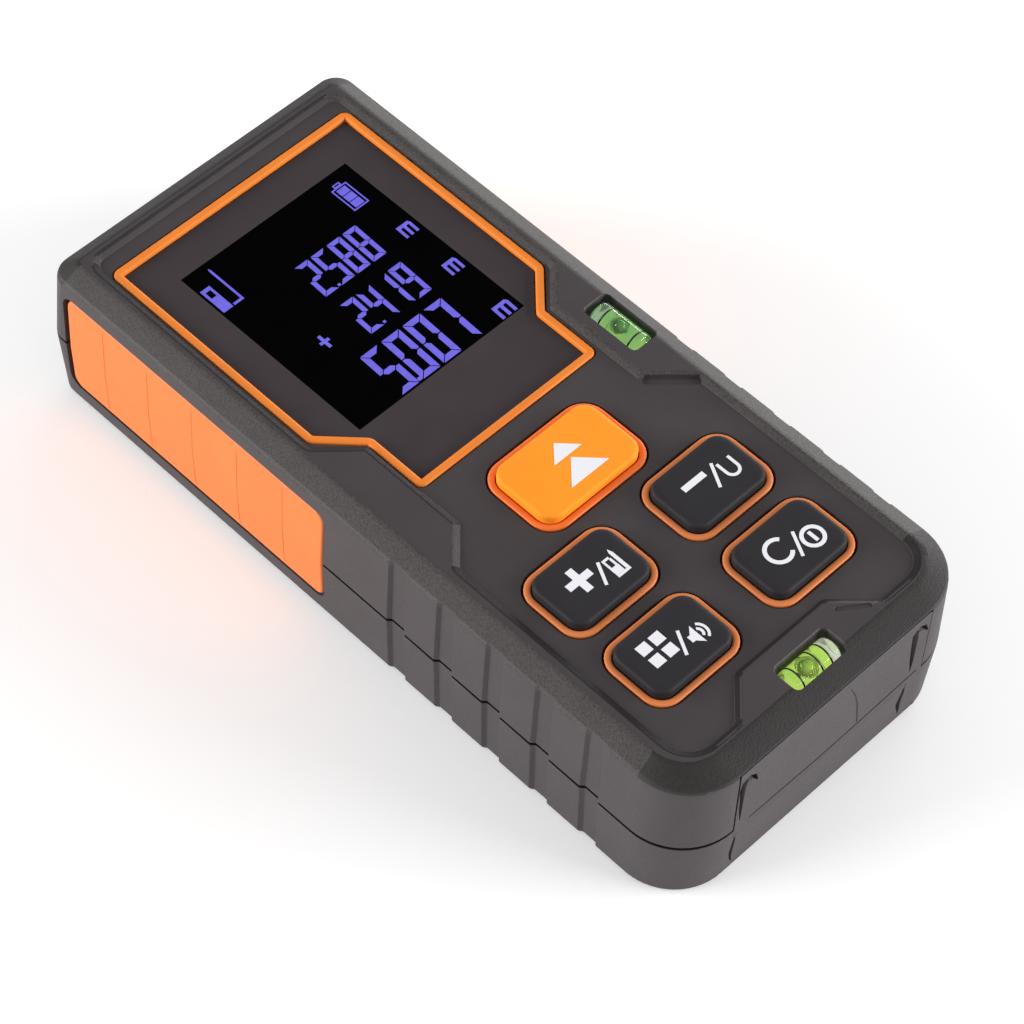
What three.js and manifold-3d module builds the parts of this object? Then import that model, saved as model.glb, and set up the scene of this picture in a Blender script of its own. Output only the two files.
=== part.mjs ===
// Laser distance meter: a pocket instrument that measures with a laser spot.
// Millimetres. +Z is up out of the display, +Y points the way the laser fires, +X is to the
// right of the read-out. The origin is at the middle of the back face, on which it lies.
import * as THREE from 'three';
import { mergeVertices } from 'three/addons/utils/BufferGeometryUtils.js';
import Module from 'manifold-3d';

const wasm = await Module();
wasm.setup();

// ---------------------------------------------------------------- driving dimensions

// casing
const HALF_WIDTH = 25.2;
const HALF_LENGTH = 56;
const PARTING_Z = 11.1;
const SHOULDER_Z = 23;
const CREST_Z = 24.6;
const DECK_Z = 24;
const ROOF_Z = 21.4;
const FLOOR_Z = 2.4;
const WALL = 2.4;
const CAVITY_HALF_WIDTH = 22.4;
const GAP = 0.3;
const NEAR_RADIUS = 9;
const FAR_RADIUS = 3.5;
const CORNER_STEPS = 6;
const DECK = { x: 0, y: -0.6, width: 41, length: 102.4, corner: 5 };
const FRONT_CAVITY = { x: 0, y: 0.6, length: 105.8, corner: 6.4 };

// finger ribs along both sides
const RIB_COUNT = 5;
const RIB_PITCH = 8.18;
const RIB_FIRST_Y = -7.1;
const RIB_LENGTH = 3.2;
const RIB_DEPTH = 0.5;

// tongue of the rear shell that closes the near end
const TONGUE_HALF_WIDTH = 16.4;
const TONGUE_TOP_Z = 22.2;
const TONGUE_THICKNESS = 1.8;

// display
const WINDOW_HALF_WIDTH = 19.6;
const WINDOW_NECK_HALF_WIDTH = 14.6;
const WINDOW_TOP_Y = 48.1;
const WINDOW_SHOULDER_Y = 12.5;
const WINDOW_NECK_Y = 7.3;
const WINDOW_BOTTOM_Y = -1.6;
const WINDOW_SEAT_Z = 22.4;
const BEZEL_WIDTH = 1.1;
const WINDOW_THICKNESS = 1.5;
const LCD_HALF_WIDTH = 16.4;
const LCD_Y = [13.4, 46.4];
const LCD_Z = [18.3, 21.1];
const BACKLIGHT = { x: 0, y: 30, width: 31, length: 30 };
const RIBBON = { topZ: 19.2, bendY: 10.6, bend: 1.4, thickness: 0.25, width: 14 };
const LCD_PORT = { x: 0, y: 30, width: 29, length: 29, corner: 1 };

// keys: name, centre and the size of the orange ring round the key
const KEYS = [
  { name: 'measure', x: 0, y: -11.8, width: 18.8, length: 12.8, corner: 3.4, orange: true },
  { name: 'minus', x: 10.04, y: -25.6, width: 15.3, length: 11.4, corner: 3.2 },
  { name: 'power', x: 10.04, y: -38.85, width: 15.3, length: 11.4, corner: 3.2 },
  { name: 'plus', x: -10.04, y: -25.6, width: 15.3, length: 11.4, corner: 3.2 },
  { name: 'mode', x: -10.04, y: -38.85, width: 15.3, length: 11.4, corner: 3.2 },
];
const RING_WIDTH = 1.15;
const RING_TOP_Z = 24.1;
const KEY_TOP_Z = 25.4;
const KEY_TRAVEL = 0.8;
const MAT_Z = [20.3, 20.9];
const MAT = { x: 0, y: -24.8, width: 36, length: 40.4, corner: 2 };
const MAT_RELIEF = { x: 15.4, y: -6, width: 6.4, length: 4.4 };
const STEM_RADIUS = 1.6;
const SWITCH_WIDTH = 5;
const SWITCH_BUTTON_RADIUS = 1.2;

// circuit board and tactile switches
const BOARD_Z = [14.8, 16];
const BOARD_HALF_WIDTH = 17;
const BOARD_HALF_LENGTH = 50;
const BOARD_HOLE_RADIUS = 1.1;
const CHIP = { x: 5, y: 8.4, width: 8, length: 8, thickness: 1.2 };
const BUZZER = { x: -7.5, y: 8.4, radius: 3.8, thickness: 3.3 };
const SWITCH_TOP_Z = 17.6;

// bubble vials in the top face
const SIDE_VIAL = { x: 20.45, y: -0.9, radius: 1.85, length: 8.5 };
const END_VIAL = { x: 0.3, y: -51.15, radius: 1.85, length: 8.4 };
const SIDE_PORT = { x: 20.45, y: -0.9, width: 4.4, length: 9.1, corner: 0.8 };
const END_PORT = { x: 0.3, y: -51.15, width: 9, length: 4.3, corner: 0.8 };
const VIAL_TOP_Z = 24.4;
const CRADLE_Z = 18.8;

// cells: two AAA in series
const CELL_RADIUS = 5.25;
const CELL_LENGTH = 44.5;
const CELL_BUTTON = { radius: 1.9, height: 1 };
const CELL_X = 6.2;
const CELL_Z = 7.3;
const BAY_HALF_WIDTH = 12.4;
const BAY_Y = [-53.6, -3.4];
const BAY_TOP_Z = 10.8;
const CONTACT_THICKNESS = 0.4;
const CONTACT_FACE_Y = [-53, -4];
const SPRING = { wireRadius: 0.3, wideRadius: 3.2, tipRadius: 1.8, turns: 3 };

// sliding battery cover
const COVER_HALF_WIDTH = 15.7;
const COVER_RAIL_HALF_WIDTH = 17.2;
const COVER_FAR_Y = -2;
const COVER_Z = [0.1, 0.8, 1.4];
const GRIP = { count: 4, firstY: -16.4, pitch: 2, width: 0.8, reach: 6, depth: 0.4 };

// optics behind the far end
const OPTICS_Z = 8.5;
const RECEIVER_X = -5.5;
const LASER_X = 9.5;
const RECEIVER_RADIUS = 5.4;
const LASER_RADIUS = 2.8;
const CHASSIS_HALF_WIDTH = 16.4;
const CHASSIS_Y = [15, 52.6];
const CHASSIS_Z = [2.8, 14.4];
const CHASSIS_RELIEF = { x: [3.4, 17.4], topY: 28 };
const PORT_HALF_WIDTH = 18.6;
const PORT_Z = [2.6, 15.4];
const BEZEL_FRAME = 2.6;
const BEZEL_SILL = 1.9;
const BARREL_WALL = 0.7;
const BARREL_Y = [32, 52];
const DIODE_Y = 31;
const DIODE_PIN_RADIUS = 0.9;
const RECEIVER_LENS_Y = 49.2;
const RECEIVER_BOARD = [[-13, 1.5], [13, 14.2], [3.2, 13.8]];
const SENSOR = { y: 16.2, radius: 2.7, length: 3.4 };
const COLLIMATOR_Y = 49.8;

// screws
const CASE_SCREW_PLACES = [[20.2, -48.8], [-20.2, -48.8], [20.2, 50], [-20.2, 50]];
const BOARD_SCREW_PLACES = [[12, 2.6], [-12, 2.6]];
const CASE_SCREW = { headZ: 1.2, headRadius: 2, headHeight: 1.2, shankRadius: 0.95, tipZ: 16.5 };
const BOARD_SCREW = { headZ: 13.2, headRadius: 1.8, headHeight: 1.3, shankRadius: 0.75, tipZ: 20 };
const CASE_BOSS = { front: 2.4, frontBore: 1.2, frontBoreTop: 18, rear: 3, rearBore: 1.3 };
const SLOT_WIDTH = 0.5;
const SCREW_WELL = { radius: 2.4, topZ: 2.7 };
const BOARD_BOSS = { radius: 1.9, bore: 1, boreTop: 20.6 };

// orange side inserts, Y by Z outline
const INSERT_Y = [5, 51.8];
const INSERT_Z = [3.4, 21.3];
const INSERT_THICKNESS = 1.3;
const INSERT_SETBACK = 0.6;

// ---------------------------------------------------------------- materials

const finish = (color, roughness, metalness = 0) => ({ color, roughness, metalness });
const FINISHES = {
  body: finish(0x5a5557, 0.6),
  insert: finish(0xff9b5a, 0.55),
  bezel: finish(0xf08732, 0.45),
  ring: finish(0xd77332, 0.55),
  key_orange: finish(0xff9b2d, 0.45),
  key_black: finish(0x373639, 0.5),
  window: finish(0x403e3c, 0.15),
  lcd: finish(0x0b0b10, 0.2),
  vial: finish(0x9fd24f, 0.1),
  cradle: finish(0xe8ead8, 0.5),
  board: finish(0x1f5a34, 0.5),
  chip: finish(0x1c1c1e, 0.5),
  switch_body: finish(0x262628, 0.5),
  chassis: finish(0x2b2b2e, 0.45, 0.8),
  brass: finish(0xb58b45, 0.35, 1),
  lens: finish(0xcfe0ea, 0.05),
  steel: finish(0xa8a8a6, 0.35, 1),
  nickel: finish(0xc9c6bd, 0.3, 1),
  cell: finish(0x2f6f8f, 0.4),
  ribbon: finish(0xb5722c, 0.5),
  backlight: finish(0xe9e9e6, 0.4),
};

// ---------------------------------------------------------------- building blocks

// Turns a closed three.js geometry into a solid that can be cut and joined.
function solidOf(geometry) {
  const bare = geometry.index ? geometry.clone() : geometry;
  bare.deleteAttribute('normal');
  bare.deleteAttribute('uv');
  const merged = mergeVertices(bare, 1e-4);
  const vertProperties = new Float32Array(merged.attributes.position.array);
  const triVerts = new Uint32Array(merged.index.array);
  return new wasm.Manifold(new wasm.Mesh({ numProp: 3, vertProperties, triVerts }));
}

function geometryOf(solid) {
  const { vertProperties, triVerts, numProp } = solid.getMesh();
  const geometry = new THREE.BufferGeometry();
  const positions = new Float32Array((vertProperties.length / numProp) * 3);
  for (let i = 0; i < positions.length / 3; i += 1) {
    positions.set(vertProperties.subarray(i * numProp, i * numProp + 3), i * 3);
  }
  geometry.setAttribute('position', new THREE.BufferAttribute(positions, 3));
  geometry.setIndex(new THREE.BufferAttribute(new Uint32Array(triVerts), 1));
  geometry.computeVertexNormals();
  return geometry;
}

// A box between two limits on each axis.
function box([x0, x1], [y0, y1], [z0, z1]) {
  const geometry = new THREE.BoxGeometry(x1 - x0, y1 - y0, z1 - z0);
  geometry.translate((x0 + x1) / 2, (y0 + y1) / 2, (z0 + z1) / 2);
  return solidOf(geometry);
}

function centredBox({ x, y, width, length }, zRange) {
  return box([x - width / 2, x + width / 2], [y - length / 2, y + length / 2], zRange);
}

// A cylinder along 'x', 'y' or 'z', from its middle point.
function cylinder(radius, length, axis, [x, y, z], segments = 24) {
  const geometry = new THREE.CylinderGeometry(radius, radius, length, segments);
  if (axis === 'x') geometry.rotateZ(Math.PI / 2);
  if (axis === 'z') geometry.rotateX(Math.PI / 2);
  geometry.translate(x, y, z);
  return solidOf(geometry);
}

// A turned body: profile points are [radius, height] up the axis, which lies along +Y.
function turned(profile, [x, y, z], segments = 24) {
  const points = profile.map(([radius, height]) => new THREE.Vector2(radius, height));
  const geometry = new THREE.LatheGeometry(points, segments);
  geometry.translate(x, y, z);
  return solidOf(geometry);
}

function roundedRectangle({ x, y, width, length, corner: radius }) {
  const shape = new THREE.Shape();
  const right = x + width / 2 - radius;
  const left = x - width / 2 + radius;
  const top = y + length / 2 - radius;
  const bottom = y - length / 2 + radius;
  shape.absarc(right, bottom, radius, -Math.PI / 2, 0);
  shape.absarc(right, top, radius, 0, Math.PI / 2);
  shape.absarc(left, top, radius, Math.PI / 2, Math.PI);
  shape.absarc(left, bottom, radius, Math.PI, 1.5 * Math.PI);
  shape.closePath();
  return shape;
}

function extruded(shape, [z0, z1], curveSegments = 4) {
  const options = { depth: z1 - z0, bevelEnabled: false, curveSegments };
  const geometry = new THREE.ExtrudeGeometry(shape, options);
  geometry.translate(0, 0, z0);
  return solidOf(geometry);
}

// Joins rings of the same number of points, from the lowest to the highest, and closes
// both ends with a fan round the ring's middle.
function lofted(rings) {
  const count = rings[0].length;
  const positions = [];
  const index = [];
  for (const ring of rings) {
    for (const [x, y, z] of ring) positions.push(x, y, z);
  }
  for (let level = 0; level < rings.length - 1; level += 1) {
    for (let i = 0; i < count; i += 1) {
      const a = level * count + i;
      const b = level * count + ((i + 1) % count);
      index.push(a, b, b + count, a, b + count, a + count);
    }
  }
  const last = (rings.length - 1) * count;
  const bottomMiddle = positions.length / 3;
  positions.push(0, 0, rings[0][0][2], 0, 0, rings.at(-1)[0][2]);
  for (let i = 0; i < count; i += 1) {
    const next = (i + 1) % count;
    index.push(bottomMiddle, next, i);
    index.push(bottomMiddle + 1, last + i, last + next);
  }
  const geometry = new THREE.BufferGeometry();
  geometry.setAttribute('position', new THREE.Float32BufferAttribute(positions, 3));
  geometry.setIndex(index);
  return solidOf(geometry);
}

// ---------------------------------------------------------------- the casing's outer form

// One level of the casing: its outline, drawn in by insetX and insetY, at height z.
function casingRing(z, insetX, insetY, ribDepth) {
  const halfWidth = HALF_WIDTH - insetX;
  const halfLength = HALF_LENGTH - insetY;
  const inset = Math.min(insetX, insetY);
  const near = NEAR_RADIUS - inset;
  const far = Math.max(FAR_RADIUS - inset, 0.6);
  const ring = [];
  const arc = (x, y, radius, start) => {
    for (let i = 0; i <= CORNER_STEPS; i += 1) {
      const angle = start + (i / CORNER_STEPS) * Math.PI * 0.5;
      ring.push([x + radius * Math.cos(angle), y + radius * Math.sin(angle), z]);
    }
  };
  const ribPoints = [];
  for (let i = 0; i < RIB_COUNT; i += 1) {
    const start = RIB_FIRST_Y - i * RIB_PITCH;
    ribPoints.push([0, start], [ribDepth, start - RIB_DEPTH]);
    ribPoints.push([ribDepth, start - RIB_LENGTH], [0, start - RIB_LENGTH - RIB_DEPTH / 4]);
  }
  arc(halfWidth - near, -halfLength + near, near, -Math.PI / 2);
  for (const [depth, y] of [...ribPoints].reverse()) ring.push([halfWidth - depth, y, z]);
  arc(halfWidth - far, halfLength - far, far, 0);
  arc(-halfWidth + far, halfLength - far, far, Math.PI / 2);
  for (const [depth, y] of ribPoints) ring.push([-halfWidth + depth, y, z]);
  arc(-halfWidth + near, -halfLength + near, near, Math.PI);
  return ring;
}

const BASE_RINGS = [[0, 1.1, 0.7, 0.2], [0.8, 0.15, 0, RIB_DEPTH * 0.8]];
const TOP_RINGS = [[SHOULDER_Z, 0.6, 0, RIB_DEPTH * 0.8], [CREST_Z, 3.2, 2.2, 0.02]];

function casing(levels, extraInset = 0) {
  return lofted(levels.map(([z, x, y, rib]) => casingRing(z, x + extraInset, y + extraInset, rib)));
}

const casingBody = (inset = 0) => casing(
  [...BASE_RINGS, [PARTING_Z, 0, 0, RIB_DEPTH], ...TOP_RINGS], inset);

// ---------------------------------------------------------------- openings shared by shells

// The outline of an orange side insert, as a solid through the whole casing.
function insertSlab(growth) {
  const [y0, y1] = [INSERT_Y[0] - growth, INSERT_Y[1] + growth];
  const [z0, z1] = [INSERT_Z[0] - growth, INSERT_Z[1] + growth];
  const shape = new THREE.Shape();
  shape.absarc(y0 + 1, z0 + 1, 1, Math.PI, 1.5 * Math.PI);
  shape.absarc(y1 - 5, z0 + 5, 5, -Math.PI / 2, 0);
  shape.absarc(y1 - 1.2, z1 - 1.2, 1.2, 0, Math.PI / 2);
  shape.absarc(y0 + 3, z1 - 3, 3, Math.PI / 2, Math.PI);
  shape.closePath();
  const options = { depth: 80, bevelEnabled: false, curveSegments: 5 };
  const geometry = new THREE.ExtrudeGeometry(shape, options);
  geometry.translate(0, 0, -40);
  // the drawing plane's first axis becomes Y and its second becomes Z
  geometry.rotateX(Math.PI / 2);
  geometry.rotateZ(Math.PI / 2);
  return solidOf(geometry);
}

// A block down the middle of the casing that leaves depth millimetres at each side.
function coreBlock(depth) {
  return centredBox({ x: 0, y: 0, width: 2 * (HALF_WIDTH - depth), length: 140 }, [-5, 40]);
}

function insertPockets() {
  return insertSlab(GAP * 0.7).subtract(coreBlock(INSERT_THICKNESS + INSERT_SETBACK + GAP));
}

function boss([x, y], radius, zRange) {
  return cylinder(radius, zRange[1] - zRange[0], 'z', [x, y, (zRange[0] + zRange[1]) / 2], 16);
}

function opticsPort() {
  const xRange = [-PORT_HALF_WIDTH, PORT_HALF_WIDTH];
  return box(xRange, [HALF_LENGTH - WALL - 1, HALF_LENGTH + 1], PORT_Z);
}

function windowOutline(growth) {
  const wide = WINDOW_HALF_WIDTH + growth;
  const neck = WINDOW_NECK_HALF_WIDTH + growth;
  const slope = growth * 0.41;
  const points = [
    [neck, WINDOW_BOTTOM_Y - growth],
    [neck, WINDOW_NECK_Y - slope],
    [wide, WINDOW_SHOULDER_Y - slope],
    [wide, WINDOW_TOP_Y + growth],
  ];
  const mirrored = [...points].reverse().map(([x, y]) => [-x, y]);
  return new THREE.Shape([...points, ...mirrored].map(([x, y]) => new THREE.Vector2(x, y)));
}

function keyOutline(key, growth) {
  const { x, y } = key;
  const [width, length] = [key.width + 2 * growth, key.length + 2 * growth];
  return roundedRectangle({ x, y, width, length, corner: key.corner + growth });
}

// ---------------------------------------------------------------- front shell

function frontShell() {
  const seam = PARTING_Z + GAP / 2;
  let shell = casing([[seam, 0, 0, RIB_DEPTH], ...TOP_RINGS]);
  shell = shell.subtract(extruded(roundedRectangle(DECK), [DECK_Z, CREST_Z + 1]));
  const cavity = roundedRectangle({ ...FRONT_CAVITY, width: 2 * CAVITY_HALF_WIDTH });
  shell = shell.subtract(extruded(cavity, [seam - 1, ROOF_Z]));
  shell = shell.subtract(extruded(windowOutline(BEZEL_WIDTH / 2 + 0.15), [WINDOW_SEAT_Z, DECK_Z + 1]));
  shell = shell.subtract(extruded(roundedRectangle(LCD_PORT), [ROOF_Z - 1, WINDOW_SEAT_Z + 1]));
  for (const key of KEYS) {
    shell = shell.subtract(extruded(keyOutline(key, 0), [ROOF_Z - 1, DECK_Z + 1]));
  }
  for (const port of [SIDE_PORT, END_PORT]) {
    shell = shell.subtract(extruded(roundedRectangle(port), [CRADLE_Z - GAP, CREST_Z + 1]));
  }
  for (const spot of CASE_SCREW_PLACES) {
    shell = shell.add(boss(spot, CASE_BOSS.front, [seam, ROOF_Z + 0.5]));
    shell = shell.subtract(boss(spot, CASE_BOSS.frontBore, [seam - 1, CASE_BOSS.frontBoreTop]));
  }
  for (const spot of BOARD_SCREW_PLACES) {
    shell = shell.add(boss(spot, BOARD_BOSS.radius, [BOARD_Z[1] + GAP, ROOF_Z + 0.5]));
    shell = shell.subtract(boss(spot, BOARD_BOSS.bore, [BOARD_Z[1], BOARD_BOSS.boreTop]));
  }
  const notchHalf = TONGUE_HALF_WIDTH + GAP;
  const notchY = -HALF_LENGTH + TONGUE_THICKNESS + GAP;
  shell = shell.subtract(box([-notchHalf, notchHalf], [-60, notchY], [0, TONGUE_TOP_Z + GAP]));
  return shell.subtract(insertPockets()).subtract(opticsPort());
}

// ---------------------------------------------------------------- rear shell and its cover

function coverChannel(clearance) {
  const narrow = COVER_HALF_WIDTH + clearance;
  const wide = COVER_RAIL_HALF_WIDTH + clearance;
  const yRange = [-HALF_LENGTH - 2, COVER_FAR_Y + clearance];
  const bottom = COVER_Z[0] - clearance;
  const plate = box([-narrow, narrow], yRange, [bottom, COVER_Z[2] + clearance]);
  return plate.add(box([-wide, wide], yRange, [COVER_Z[1] - clearance, COVER_Z[2] + clearance]));
}

function rearShell() {
  const seam = PARTING_Z - GAP / 2;
  let shell = casing([...BASE_RINGS, [seam, 0, 0, RIB_DEPTH]]);
  const [width, length] = [2 * CAVITY_HALF_WIDTH, 2 * (HALF_LENGTH - WALL)];
  const cavity = roundedRectangle({ x: 0, y: 0, width, length, corner: FRONT_CAVITY.corner });
  shell = shell.subtract(extruded(cavity, [FLOOR_Z, seam + 1]));
  const tongueTop = casing([[seam - 1, 0, 0, 0], [TONGUE_TOP_Z, 0, 0, 0]]);
  const tongueY = [-60, -HALF_LENGTH + TONGUE_THICKNESS];
  const tongue = box([-TONGUE_HALF_WIDTH, TONGUE_HALF_WIDTH], tongueY, [seam - 1, TONGUE_TOP_Z]);
  shell = shell.add(tongueTop.intersect(tongue));
  const bayWall = BAY_HALF_WIDTH + 1;
  shell = shell.add(box([-bayWall, bayWall], [BAY_Y[0] - 1, BAY_Y[1] + 1], [1, BAY_TOP_Z]));
  const bayHalf = [-BAY_HALF_WIDTH, BAY_HALF_WIDTH];
  shell = shell.subtract(box(bayHalf, BAY_Y, [-1, BAY_TOP_Z + 1]));
  for (const spot of CASE_SCREW_PLACES) {
    shell = shell.add(boss(spot, CASE_BOSS.rear, [FLOOR_Z - 0.5, seam]));
  }
  const keep = casing([...BASE_RINGS, [seam, 0, 0, RIB_DEPTH], [TONGUE_TOP_Z + 1, 0, 0, 0]]);
  shell = shell.intersect(keep);
  for (const spot of CASE_SCREW_PLACES) {
    shell = shell.subtract(boss(spot, CASE_BOSS.rearBore, [-1, seam + 1]));
    shell = shell.subtract(boss(spot, SCREW_WELL.radius, [-1, SCREW_WELL.topZ]));
  }
  shell = shell.subtract(coverChannel(GAP));
  return shell.subtract(insertPockets()).subtract(opticsPort());
}

function batteryCover() {
  let cover = coverChannel(0).intersect(casingBody(0.05));
  for (let i = 0; i < GRIP.count; i += 1) {
    const start = GRIP.firstY + i * GRIP.pitch;
    const yRange = [start, start + GRIP.width];
    cover = cover.subtract(box([-GRIP.reach, GRIP.reach], yRange, [-1, COVER_Z[0] + GRIP.depth]));
  }
  return cover;
}

// ---------------------------------------------------------------- inserts, display, keypad

function sideInsert(side) {
  const half = side < 0 ? [-40, 0] : [0, 40];
  const both = insertSlab(0).subtract(coreBlock(INSERT_THICKNESS + INSERT_SETBACK));
  return both.intersect(box(half, [-60, 60], [-5, 40])).intersect(casingBody(0.05));
}

function displayBezel() {
  const outer = extruded(windowOutline(BEZEL_WIDTH / 2 - 0.15), [WINDOW_SEAT_Z + 0.1, DECK_Z + 0.15]);
  return outer.subtract(extruded(windowOutline(-BEZEL_WIDTH / 2), [WINDOW_SEAT_Z - 1, DECK_Z + 1]));
}

function displayWindow() {
  const bottom = WINDOW_SEAT_Z + 0.1;
  return extruded(windowOutline(-BEZEL_WIDTH / 2 - 0.2), [bottom, bottom + WINDOW_THICKNESS]);
}

function keypadMat() {
  let mat = extruded(roundedRectangle(MAT), MAT_Z);
  mat = mat.subtract(centredBox(MAT_RELIEF, [0, 40]));
  mat = mat.subtract(centredBox({ ...MAT_RELIEF, x: -MAT_RELIEF.x }, [0, 40]));
  for (const key of KEYS) {
    mat = mat.add(extruded(keyOutline(key, -GAP / 2), [MAT_Z[0], RING_TOP_Z]));
  }
  for (const key of KEYS) {
    mat = mat.subtract(extruded(keyOutline(key, -RING_WIDTH), [MAT_Z[0] - 1, RING_TOP_Z + 1]));
  }
  return mat;
}

// A key cap with a flange under the mat and a stem above its switch.
function keyCap(key) {
  const inset = RING_WIDTH + GAP;
  const neck = extruded(keyOutline(key, -inset), [MAT_Z[0] - 1, KEY_TOP_Z - 0.5]);
  const top = extruded(keyOutline(key, -inset - 0.5), [KEY_TOP_Z - 0.6, KEY_TOP_Z]);
  const flange = extruded(keyOutline(key, -0.5), [MAT_Z[0] - 1, MAT_Z[0] - 0.2]);
  const stemZ = [SWITCH_TOP_Z + KEY_TRAVEL + 0.1, MAT_Z[0] - 0.5];
  return neck.add(top).add(flange).add(boss([key.x, key.y], STEM_RADIUS, stemZ));
}

function keySwitch(key) {
  const foot = { x: key.x, y: key.y, width: SWITCH_WIDTH, length: SWITCH_WIDTH };
  const base = centredBox(foot, [BOARD_Z[1] + 0.05, BOARD_Z[1] + 1]);
  return base.add(boss([key.x, key.y], SWITCH_BUTTON_RADIUS, [BOARD_Z[1] + 0.5, SWITCH_TOP_Z]));
}

function ribbonCable() {
  const { topZ, bendY, bend, thickness, width } = RIBBON;
  const shape = new THREE.Shape();
  shape.moveTo(LCD_Y[0] - GAP, topZ);
  shape.lineTo(bendY, topZ);
  shape.absarc(bendY, topZ - bend, bend, Math.PI / 2, Math.PI);
  shape.lineTo(bendY - bend, BOARD_Z[1] + GAP);
  shape.lineTo(bendY - bend + thickness, BOARD_Z[1] + GAP);
  shape.absarc(bendY, topZ - bend, bend - thickness, Math.PI, Math.PI / 2, true);
  shape.lineTo(LCD_Y[0] - GAP, topZ - thickness);
  shape.closePath();
  const options = { depth: width, bevelEnabled: false, curveSegments: 5 };
  const geometry = new THREE.ExtrudeGeometry(shape, options);
  geometry.translate(0, 0, -width / 2);
  geometry.rotateX(Math.PI / 2);
  geometry.rotateZ(Math.PI / 2);
  return solidOf(geometry);
}

// ---------------------------------------------------------------- vials

// A closed glass tube with domed ends, along 'x' or 'y'.
function vial({ x, y, radius, length }, axis) {
  const half = length / 2;
  const dome = radius * 0.35;
  const profile = [[0, -half], [radius * 0.7, -half + dome * 0.25], [radius, -half + dome]];
  const mirrored = [...profile].reverse().map(([r, h]) => [r, -h]);
  const points = [...profile, ...mirrored].map(([r, h]) => new THREE.Vector2(r, h));
  const geometry = new THREE.LatheGeometry(points, 20);
  if (axis === 'x') geometry.rotateZ(-Math.PI / 2);
  geometry.translate(x, y, VIAL_TOP_Z - radius);
  return solidOf(geometry);
}

// The trough that a vial lies in.
function vialCradle({ x, y, radius, length }, axis) {
  const [width, breadth] = axis === 'x' ? [length, 2 * radius] : [2 * radius, length];
  const axisZ = VIAL_TOP_Z - radius;
  const block = centredBox({ x, y, width, length: breadth }, [CRADLE_Z, axisZ - radius * 0.4]);
  return block.subtract(cylinder(radius + 0.15, length + 4, axis, [x, y, axisZ], 20));
}

// ---------------------------------------------------------------- boards and small parts

function mainBoard() {
  const [width, length] = [2 * BOARD_HALF_WIDTH, 2 * BOARD_HALF_LENGTH];
  let board = extruded(roundedRectangle({ x: 0, y: 0, width, length, corner: 2 }), BOARD_Z, 3);
  for (const spot of BOARD_SCREW_PLACES) {
    board = board.subtract(boss(spot, BOARD_HOLE_RADIUS, [BOARD_Z[0] - 1, BOARD_Z[1] + 1]));
  }
  return board;
}

// A pan-head screw whose head is at headZ and whose shank points up.
function screw([x, y], { headZ, headRadius, headHeight, shankRadius, tipZ }) {
  const head = boss([x, y], headRadius, [headZ, headZ + headHeight]);
  const shank = boss([x, y], shankRadius, [headZ + headHeight / 2, tipZ]);
  const arm = headRadius * 1.2;
  const slotZ = [headZ - 1, headZ + headHeight * 0.45];
  const across = centredBox({ x, y, width: arm, length: SLOT_WIDTH }, slotZ);
  const along = centredBox({ x, y, width: SLOT_WIDTH, length: arm }, slotZ);
  return head.add(shank).subtract(across).subtract(along);
}

// ---------------------------------------------------------------- optics

function opticsChassis() {
  const half = [-CHASSIS_HALF_WIDTH, CHASSIS_HALF_WIDTH];
  const bore = (x, radius) => cylinder(radius, 80, 'y', [x, 30, OPTICS_Z], 24);
  const core = box(half, CHASSIS_Y, CHASSIS_Z);
  const relief = box(CHASSIS_RELIEF.x, [CHASSIS_Y[0] - 1, CHASSIS_RELIEF.topY], [0, 30]);
  const bored = core.subtract(bore(RECEIVER_X, RECEIVER_RADIUS + 0.25));
  return bored.subtract(bore(LASER_X, LASER_RADIUS + 0.25)).subtract(relief);
}

function laserBarrel() {
  const length = BARREL_Y[1] - BARREL_Y[0];
  const middle = [LASER_X, (BARREL_Y[0] + BARREL_Y[1]) / 2, OPTICS_Z];
  const bore = cylinder(LASER_RADIUS - BARREL_WALL, length, 'y', [LASER_X, middle[1] + 2, OPTICS_Z]);
  return cylinder(LASER_RADIUS, length, 'y', middle).subtract(bore);
}

function laserDiode() {
  const can = cylinder(LASER_RADIUS - 0.3, 1.4, 'y', [LASER_X, DIODE_Y, OPTICS_Z]);
  return can.add(cylinder(DIODE_PIN_RADIUS, 5, 'y', [LASER_X, DIODE_Y - 3, OPTICS_Z], 12));
}

// A lens with a curved front, lying on the laser's axis.
function lens(radius, thickness, [x, y]) {
  const bulge = thickness * 0.45;
  const profile = [[0, 0], [radius, 0], [radius, thickness - bulge]];
  for (let i = 1; i < 5; i += 1) {
    const angle = (i / 5) * Math.PI * 0.5;
    profile.push([radius * Math.cos(angle), thickness - bulge + bulge * Math.sin(angle)]);
  }
  profile.push([0, thickness]);
  return turned(profile, [x, y, OPTICS_Z]);
}

function frontBezel() {
  const outerX = PORT_HALF_WIDTH - GAP;
  const outerZ = [PORT_Z[0] + GAP, PORT_Z[1] - GAP];
  const frame = box([-outerX, outerX], [HALF_LENGTH - 2, HALF_LENGTH - 0.1], outerZ);
  const openX = PORT_HALF_WIDTH - BEZEL_FRAME;
  const openZ = [PORT_Z[0] + BEZEL_SILL, PORT_Z[1] - BEZEL_SILL];
  return frame.subtract(box([-openX, openX], [50, 60], openZ));
}

function frontWindow() {
  const halfX = PORT_HALF_WIDTH - BEZEL_FRAME - GAP;
  const zRange = [PORT_Z[0] + BEZEL_SILL + GAP, PORT_Z[1] - BEZEL_SILL - GAP];
  return box([-halfX, halfX], [HALF_LENGTH - 1.9, HALF_LENGTH - 0.8], zRange);
}

// ---------------------------------------------------------------- cells and contacts

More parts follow.
